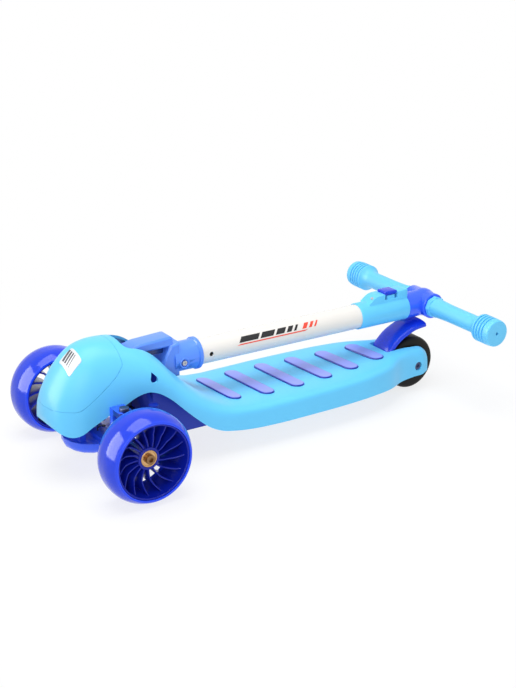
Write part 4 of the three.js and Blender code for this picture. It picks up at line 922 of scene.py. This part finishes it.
enamel = moulded(
    "white enamel", (0.8, 0.78, 0.745), 0.24, speckle=0.015, grain=160, depth=0.0001, coat=0.4, scuffs=0.12,
)
stem = pipe("stem_tube_drawn", TUBE_RADIUS, TUBE_WALL, stem_low.x, stem_high.x, TUBE_AXIS, "x")
carved(
    stem,
    prism("near_hole", circle(HOLE_X, STEM_Z, HOLE_RADIUS), 0, 2 * TUBE_RADIUS, "y"),
    prism("button_hole", circle(button_x, 0, BUTTON_HOLE), STEM_Z, STEM_Z + 2 * TUBE_RADIUS, "z"),
)
finished(stem, enamel, "white_paint", "stem_tube", crease=30)


def side_of_tube(a, b, lift):
    """A place on the enamel, a behind the socket's mouth and b round the tube from its near side."""
    turn = b / TUBE_RADIUS
    reach = TUBE_RADIUS + lift
    return (stem_high.x - a, reach * math.cos(turn), STEM_Z + reach * math.sin(turn))


def slanted(start, end, low, high, lean=0.006):
    """A leaning bar, with places along its long edges too."""
    top = [(a, high) for a in np.linspace(end + lean, start + lean, 4)]
    return [(a, low) for a in np.linspace(start, end, 4)] + top


black_ink = moulded("black ink", (0.012, 0.012, 0.014), 0.32, speckle=0.2, coat=0.3, shine=0.3)
orange_ink = moulded("orange ink", (0.82, 0.06, 0.025), 0.32, speckle=0.06, coat=0.3)
STRIPE_LOW, STRIPE_HIGH, LINE_LOW, LINE_HIGH = 0.0066, 0.0145, 0.0032, 0.0048
BLACK_BARS = [(0.098, 0.128), (0.132, 0.153), (0.157, 0.171), (0.175, 0.183), (0.187, 0.191)]
ORANGE_BARS = [(0.201, 0.208), (0.212, 0.217), (0.221, 0.224)]
stripes = [(start, end, STRIPE_LOW, STRIPE_HIGH, black_ink, "navy_plastic") for start, end in BLACK_BARS]
stripes.append((0.094, 0.205, LINE_LOW, LINE_HIGH, orange_ink, "bronze"))
stripes += [(start, end, STRIPE_LOW, STRIPE_HIGH, orange_ink, "bronze") for start, end in ORANGE_BARS]
for number, (start, end, low, high, ink, slot) in enumerate(stripes):
    stripe = label(f"tube_stripe_{number + 1}", side_of_tube, slanted(start, end, low, high))
    finished(stripe, ink, slot, body=rides_on["stem_tube"])

INNER_RADIUS = 0.0156
inner_low, inner_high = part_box("inner_tube")
inner = pipe("inner_tube_drawn", INNER_RADIUS, TUBE_WALL, inner_low.x, inner_high.x, TUBE_AXIS, "x", 72)
finished(inner, zinc, "steel", "inner_tube", crease=30)
BUTTON_SLAB, BUTTON_NECK, KEEPER_GAP, KEEPER_REACH, KEEPER_HALF = 0.0048, 0.0045, 0.0012, 0.0066, 0.0094
slab_foot = button_high.z - BUTTON_SLAB
saddle_foot = STEM_Z + TUBE_RADIUS / 2
under = []
for side in (1, -1):
    near, far = side * BUTTON_NECK, side * TUBE_RADIUS
    outline = box_outline(button_low.x - 0.001, near, button_high.x + 0.001, far)
    under.append(prism("under_button", outline, saddle_foot, slab_foot, "z"))
softened("height_button", royal_plastic, "royal_plastic", edge=0.0008, cuts=under)
collar = softened("height_collar", sky_plastic, "sky_plastic", edge=0.001, segments=3)
for name, side in (("left", 1), ("right", -1)):
    near, far, top = side * (BUTTON_NECK + 0.0004), side * KEEPER_HALF, slab_foot - KEEPER_GAP
    outline = rounded([(near, saddle_foot, 0), (far, saddle_foot, 0), (far, top, 0.001), (near, top, 0)], 5)
    keeper = prism(f"button_keeper_{name}", outline, button_x - KEEPER_REACH, button_x + KEEPER_REACH, "x")
    finished(keeper, sky_plastic, "sky_plastic", body=rides_on["height_collar"])
COLLAR_SCREW_X, COLLAR_SCREW_Y, COLLAR_SCREW_RADIUS = -0.1985, 0.0055, 0.0026
graph = bpy.context.evaluated_depsgraph_get()
seat = BVHTree.FromObject(collar, graph).ray_cast((COLLAR_SCREW_X, COLLAR_SCREW_Y, 1), (0, 0, -1))[:2]
finished(
    screws("collar_screw", COLLAR_SCREW_RADIUS, zinc, seat), zinc, "steel", body=rides_on["height_collar"],
)

# Handlebar
# A glossy royal-blue T-joint is pressed on the steel tube and holds the cross bar; a soft
# sky-blue grip is pushed on each end, with a ribbed knob that keeps the hand from slipping off.

bar_low, bar_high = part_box("bar_tube")
BAR_X = (bar_low.x + bar_high.x) / 2
BAR_CENTRE = (BAR_X, 0, STEM_Z)
joint_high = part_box("bar_joint")[1]
BAR_RADIUS, BAR_BORE, TUBE_BORE = 0.011, 0.0113, 0.0159
JOINT_RADIUS, BALL, CROSS, CROSS_HALF = 0.019, 0.0206, 0.0185, 0.025
cross_bar = pipe("bar_tube_drawn", BAR_RADIUS, TUBE_WALL, bar_low.y, bar_high.y, BAR_CENTRE, "y", 72)
finished(cross_bar, zinc, "steel", "bar_tube", crease=30)

joint = bar("bar_joint_moulded", JOINT_RADIUS, BAR_X, joint_high.x, TUBE_AXIS, "x", 0.0008, 96)
ball = turned("ball", [
    (BALL * math.sin(a), -BALL * math.cos(a)) for a in np.linspace(0, math.pi, 33)
], BAR_CENTRE, "y", 96)
cross = bar("cross", CROSS, -CROSS_HALF, CROSS_HALF, BAR_CENTRE, "y", 0.001, 96)
joined(joint, ball, cross)
SCREW_WAYS = [Vector((0.417, side * 0.855, -0.309)) for side in (1, -1)]
SCREW_WELL, WELL_DEPTH = 0.0034, 0.0035
wells = []
for way in SCREW_WAYS:
    well = bar("screw_well", SCREW_WELL, BALL - WELL_DEPTH, BALL + 0.004, (0, 0, 0), "y")
    turn = Vector((0, 1, 0)).rotation_difference(way).to_matrix().to_4x4()
    well.data.transform(Matrix.Translation(BAR_CENTRE) @ turn)
    wells.append(well)
carved(
    joint,
    bar("bar_bore", BAR_BORE, -0.05, 0.05, BAR_CENTRE, "y"),
    bar("tube_bore", TUBE_BORE, inner_low.x - 0.0003, joint_high.x + 0.01, TUBE_AXIS, "x"),
    *wells,
)
finished(joint, bright_royal, "royal_plastic", "bar_joint")
seats = [(Vector(BAR_CENTRE) + way * (BALL - WELL_DEPTH - 0.0002), way) for way in SCREW_WAYS]
joint_screws = screws("joint_screws", SCREW_WELL * 0.85, dark_zinc, *seats)
finished(joint_screws, dark_zinc, "steel", body=rides_on["bar_joint"])

FLANGE, FLANGE_LENGTH, FLANGE_EDGE, FLARE, SLIM = 0.016, 0.0075, 0.0006, 0.014, 0.0125
KNOB, KNOB_FACE, KNOB_LENGTH, END_HOLE = 0.0197, 0.0185, 0.034, 0.0023
GROOVE, GROOVES, GROOVE_PITCH = 0.0036, 4, 0.0056
sky_rubber = moulded("sky rubber", SKY_BLUE, 0.46, grain=700, depth=0.0003)
grip_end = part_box("grip_left")[1].y


def grip(name, side):
    """A flange with eight flats, a slim waist and a knob with grooves round it."""
    start, knob = CROSS_HALF + 0.0003, grip_end - KNOB_LENGTH
    bar_end = bar_high.y + 0.0003
    corners = [
        (BAR_BORE, start, 0), (FLARE, start, 0), (FLARE, start + FLANGE_LENGTH + 0.001, 0.002),
        (SLIM, start + 0.03, 0.02), (SLIM, knob - 0.006, 0.005),
        (KNOB - 0.003, knob, 0.003), (KNOB, knob + 0.002, 0.001),
    ]
    for i in range(GROOVES):
        along = knob + 0.0006 + (i + 1) * GROOVE_PITCH
        corners += [
            (KNOB, along - 0.0013, 0.0005), (KNOB - GROOVE, along - 0.0009, 0.0003),
            (KNOB - GROOVE, along + 0.0009, 0.0003), (KNOB, along + 0.0013, 0.0005),
        ]
    corners += [
        (KNOB_FACE + 0.0006, grip_end - 0.003, 0.001), (KNOB_FACE, grip_end, 0.0018),
        (END_HOLE, grip_end, 0.0003), (END_HOLE, bar_end, 0), (BAR_BORE, bar_end, 0),
    ]
    end = start + FLANGE_LENGTH
    flange = [
        (FLARE - 0.001, start), (FLANGE - FLANGE_EDGE, start), (FLANGE, start + FLANGE_EDGE),
        (FLANGE, end - FLANGE_EDGE), (FLANGE - FLANGE_EDGE, end), (FLARE - 0.001, end),
    ]
    obj = turned(f"grip_moulded_{name}", rounded(corners, 6), BAR_CENTRE, "y", 96, side)
    joined(obj, turned("flange", flange, BAR_CENTRE, "y", 8, side))
    finished(obj, sky_rubber, "sky_rubber", f"grip_{name}", crease=40)


grip("left", 1)
grip("right", -1)

# Rear wheel
# A solid tyre of black rubber on a webbed hub moulded in royal blue. Two bearings and two spacers
# sit on one through bolt, whose heads are sunk in the fork's recesses.

black_tyre = moulded(
    "black tyre", (0.006, 0.005, 0.0045), 0.5, speckle=0.2, grain=600, depth=0.0004, scuffs=0.03, shine=0.2,
)
rear_centre = (REAR_X, 0, REAR_Z)
half_rear = REAR_HIGH.y
TYRE_BORE, SIDE_BORE, SIDE_WALL, TYRE_ROUND = 0.027, 0.0153, 0.0016, 0.0085
tyre = turned("rear_tyre_cast", rounded([
    (TYRE_BORE, SIDE_WALL - half_rear, 0), (SIDE_BORE, SIDE_WALL - half_rear, 0),
    (SIDE_BORE, -half_rear, 0.0005), (REAR_Z, -half_rear, TYRE_ROUND),
    (REAR_Z, half_rear, TYRE_ROUND), (SIDE_BORE, half_rear, 0.0005),
    (SIDE_BORE, half_rear - SIDE_WALL, 0), (TYRE_BORE, half_rear - SIDE_WALL, 0),
], 14), rear_centre, "y", 120)
finished(tyre, black_tyre, "black_tyre", "rear_tyre", crease=50)
softened("rear_hub", royal_plastic, "royal_plastic")
for side in ("left", "right"):
    bearing(f"rear_race_{side}", f"rear_bearing_{side}", zinc, "steel")
    softened(f"rear_spacer_{side}", zinc, "steel", edge=0.0003)
HEAD_RADIUS, HEAD_THICK, HEAD_SUNK, HEAD_EDGE = 0.006, 0.0025, 0.0025, 0.0005
THROUGH_SHANK, HEX, HEX_DEPTH, HEX_OVER = 0.004, 0.003, 0.0018, 0.002
head_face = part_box("rear_axle_bolt")[1].y - HEAD_SUNK
half_bolt = [
    (HEAD_RADIUS - HEAD_EDGE, head_face), (HEAD_RADIUS, head_face - HEAD_EDGE),
    (HEAD_RADIUS, head_face - HEAD_THICK), (THROUGH_SHANK, head_face - HEAD_THICK),
]
through_bolt = turned("rear_axle_bolt_turned", [
    (0, -head_face), *((r, -along) for r, along in half_bolt), *half_bolt[::-1], (0, head_face),
], rear_centre, "y", 60)
for side in (1, -1):
    sunk, over = side * (head_face - HEX_DEPTH), side * (head_face + HEX_OVER)
    carved(through_bolt, prism("hexagon", circle(REAR_X, REAR_Z, HEX, 6), sunk, over, "y"))
finished(through_bolt, dark_zinc, "steel", "rear_axle_bolt")

# Rear fender
# A glossy arched shell over the wheel, hinged on a pin at its front end: pressed down with the
# heel, it is the brake.

# The arch from the side: shares of the wheel's radius ahead of and above its axle.
FENDER_SHARES = [
    (1.215, 0.5), (1.145, 0.7), (0.931, 0.955), (0.628, 1.203),
    (0.329, 1.353), (0.03, 1.476), (-0.265, 1.53), (-0.55, 1.556),
]
FENDER_HALF, FENDER_RISE, FENDER_SKIN, LIP = FORK_INNER - 0.001, 0.006, 0.003, 0.0012
INNER_HALF = FENDER_HALF - FENDER_SKIN * 0.6


def fender():
    """An arch swept along the wheel: the outer skin, then the inner one back underneath it."""
    arch = np.array([(REAR_X + a * REAR_Z, REAR_Z + b * REAR_Z) for a, b in FENDER_SHARES])
    reach = np.concatenate([[0], np.cumsum(np.linalg.norm(np.diff(arch, axis=0), axis=1))])
    outer, inner = [], []
    for a in np.linspace(0, math.pi, 29):
        bow = FENDER_RISE * math.sin(a) ** 0.6 - FENDER_RISE
        outer.append((FENDER_HALF * math.cos(a), bow - LIP * (1 - math.sin(a)) ** 6))
        inner.append((INNER_HALF * math.cos(a), bow - FENDER_SKIN))
    skins = outer + inner[::-1]
    rings = []
    for place, ahead in zip(*through(arch, reach, np.linspace(0, reach[-1], 48))):
        ahead = ahead / np.linalg.norm(ahead)
        out = np.array([ahead[1], -ahead[0]])
        rings.append([(place[0] + out[0] * rise, y, place[1] + out[1] * rise) for y, rise in skins])
    return lofted("rear_fender_moulded", rings)


arch = fender()
KNUCKLE, PIN_RADIUS, PIN_BORE = 0.005, 0.0025, 0.0029
SPRING_ROOM, NOTCH_REACH, NOTCH_RISE = 0.0014, 0.01, 0.006
pin_centre = (FENDER_PIN.x, 0, FENDER_PIN.z)
joined(arch, bar("knuckle", KNUCKLE, -FENDER_HALF, FENDER_HALF, pin_centre, "y", 0.0005))
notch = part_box("fender_spring")[1].y + SPRING_ROOM
notch_outline = box_outline(FENDER_PIN.x - NOTCH_REACH, -notch, FENDER_PIN.x + NOTCH_REACH, notch)
carved(
    arch,
    prism("notch", notch_outline, 0, FENDER_PIN.z + NOTCH_RISE, "z"),
    bar("pin_bore", PIN_BORE, -0.03, 0.03, pin_centre, "y"),
)
finished(arch, royal_plastic, "royal_plastic", "rear_fender", crease=40)
pin_low, pin_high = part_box("fender_pin")
pin = bar("fender_pin_turned", PIN_RADIUS, pin_low.y, pin_high.y, pin_centre, "y")
finished(pin, zinc, "steel", "fender_pin")
spring("fender_spring", 0.0007, 4.0, "y", zinc)

# Studio
# A plain pale sheet under three soft boxes: one overhead, one by the camera, and a low one for the
# sheen on the mouldings. The camera stands at the picture's own angle.

CAMERA_AZIMUTH, CAMERA_ELEVATION = math.radians(146.75), math.radians(20.72)
CAMERA_DISTANCE, CAMERA_ROLL = 2.0039, math.radians(0.33)
CAMERA_TARGET = Vector((-0.00755, 0, 0.11559))
CAMERA_LENS, CAMERA_SENSOR = 76.4, 36
FLOOR_REACH = 9


def looked_at(tree):
    """1 for what the camera sees, straight, in a gloss or through something clear, and 0 otherwise."""
    path = added(tree, "ShaderNodeLightPath")
    seen = path["Is Camera Ray"]
    for other in ("Is Glossy Ray", "Is Transmission Ray"):
        seen = maths(tree, "MAXIMUM", seen, path[other])
    return seen


floor = placed("floor", [
    (a * FLOOR_REACH, b * FLOOR_REACH, 0) for a, b in ((-1, -1), (1, -1), (1, 1), (-1, 1))
], [(0, 1, 2, 3)])
sheet, tree, paper = blank("pale sheet")
wired(tree, paper, {"Base Color": (0.93, 0.93, 0.94, 1), "Roughness": 0.32, "Specular IOR Level": 0.25})
place = added(tree, "ShaderNodeTexCoord")["Object"]
spread = added(tree, "ShaderNodeVectorMath", {0: place}, operation="LENGTH")["Value"]
fade = ranged(tree, spread, 0.78, 1, 0.3, 0.75, interpolation_type="SMOOTHSTEP")
share = maths(tree, "MULTIPLY", fade, ranged(tree, looked_at(tree), 0.85, 1))
white = added(tree, "ShaderNodeEmission", {"Strength": 1})["Emission"]
blend = added(tree, "ShaderNodeMixShader", {"Fac": share, 1: paper.outputs["BSDF"], 2: white})["Shader"]
wired(tree, tree.nodes["Material Output"], {"Surface": blend})
floor.data.materials.append(sheet)

world = bpy.data.worlds.new("studio")
bpy.context.scene.world = world
world.use_nodes = True
tree = world.node_tree
level = ranged(tree, looked_at(tree), 0.47, 1)
wired(tree, tree.nodes["Background"], {"Color": (1, 1, 1, 1), "Strength": level})


def lamp(name, place, aim, size, power):
    """A square soft box at a place, turned to a point."""
    data = bpy.data.lights.new(name, "AREA")
    data.size = size
    data.energy = power
    obj = in_scene(name, data)
    obj.location = place
    obj.rotation_mode = "QUATERNION"
    obj.rotation_quaternion = (Vector(aim) - Vector(place)).to_track_quat("-Z", "Y")
    return obj


lamp("overhead box", (0.3, 0.1, 2.0), (0, 0, 0.1), 1.5, 32)
lamp("camera box", (1.3, 1.5, 1.1), (0.1, 0, 0.1), 0.9, 11)
sheen = lamp("sheen box", (1.9, -0.5, 0.75), (0.1, 0, 0.06), 1.8, 84)
sheen.visible_diffuse = False

camera_data = bpy.data.cameras.new("camera")
camera_data.lens = CAMERA_LENS
camera_data.sensor_width = CAMERA_SENSOR
camera = in_scene("camera", camera_data)
towards_camera = Vector((
    math.sin(CAMERA_AZIMUTH) * math.cos(CAMERA_ELEVATION),
    -math.cos(CAMERA_AZIMUTH) * math.cos(CAMERA_ELEVATION),
    math.sin(CAMERA_ELEVATION),
))
camera.rotation_mode = "QUATERNION"
camera.location = CAMERA_TARGET + towards_camera * CAMERA_DISTANCE
roll = Matrix.Rotation(CAMERA_ROLL, 4, "Z").to_quaternion()
camera.rotation_quaternion = (-towards_camera).to_track_quat("-Z", "Y") @ roll
bpy.context.scene.camera = camera
bpy.context.scene.view_settings.view_transform = "Standard"
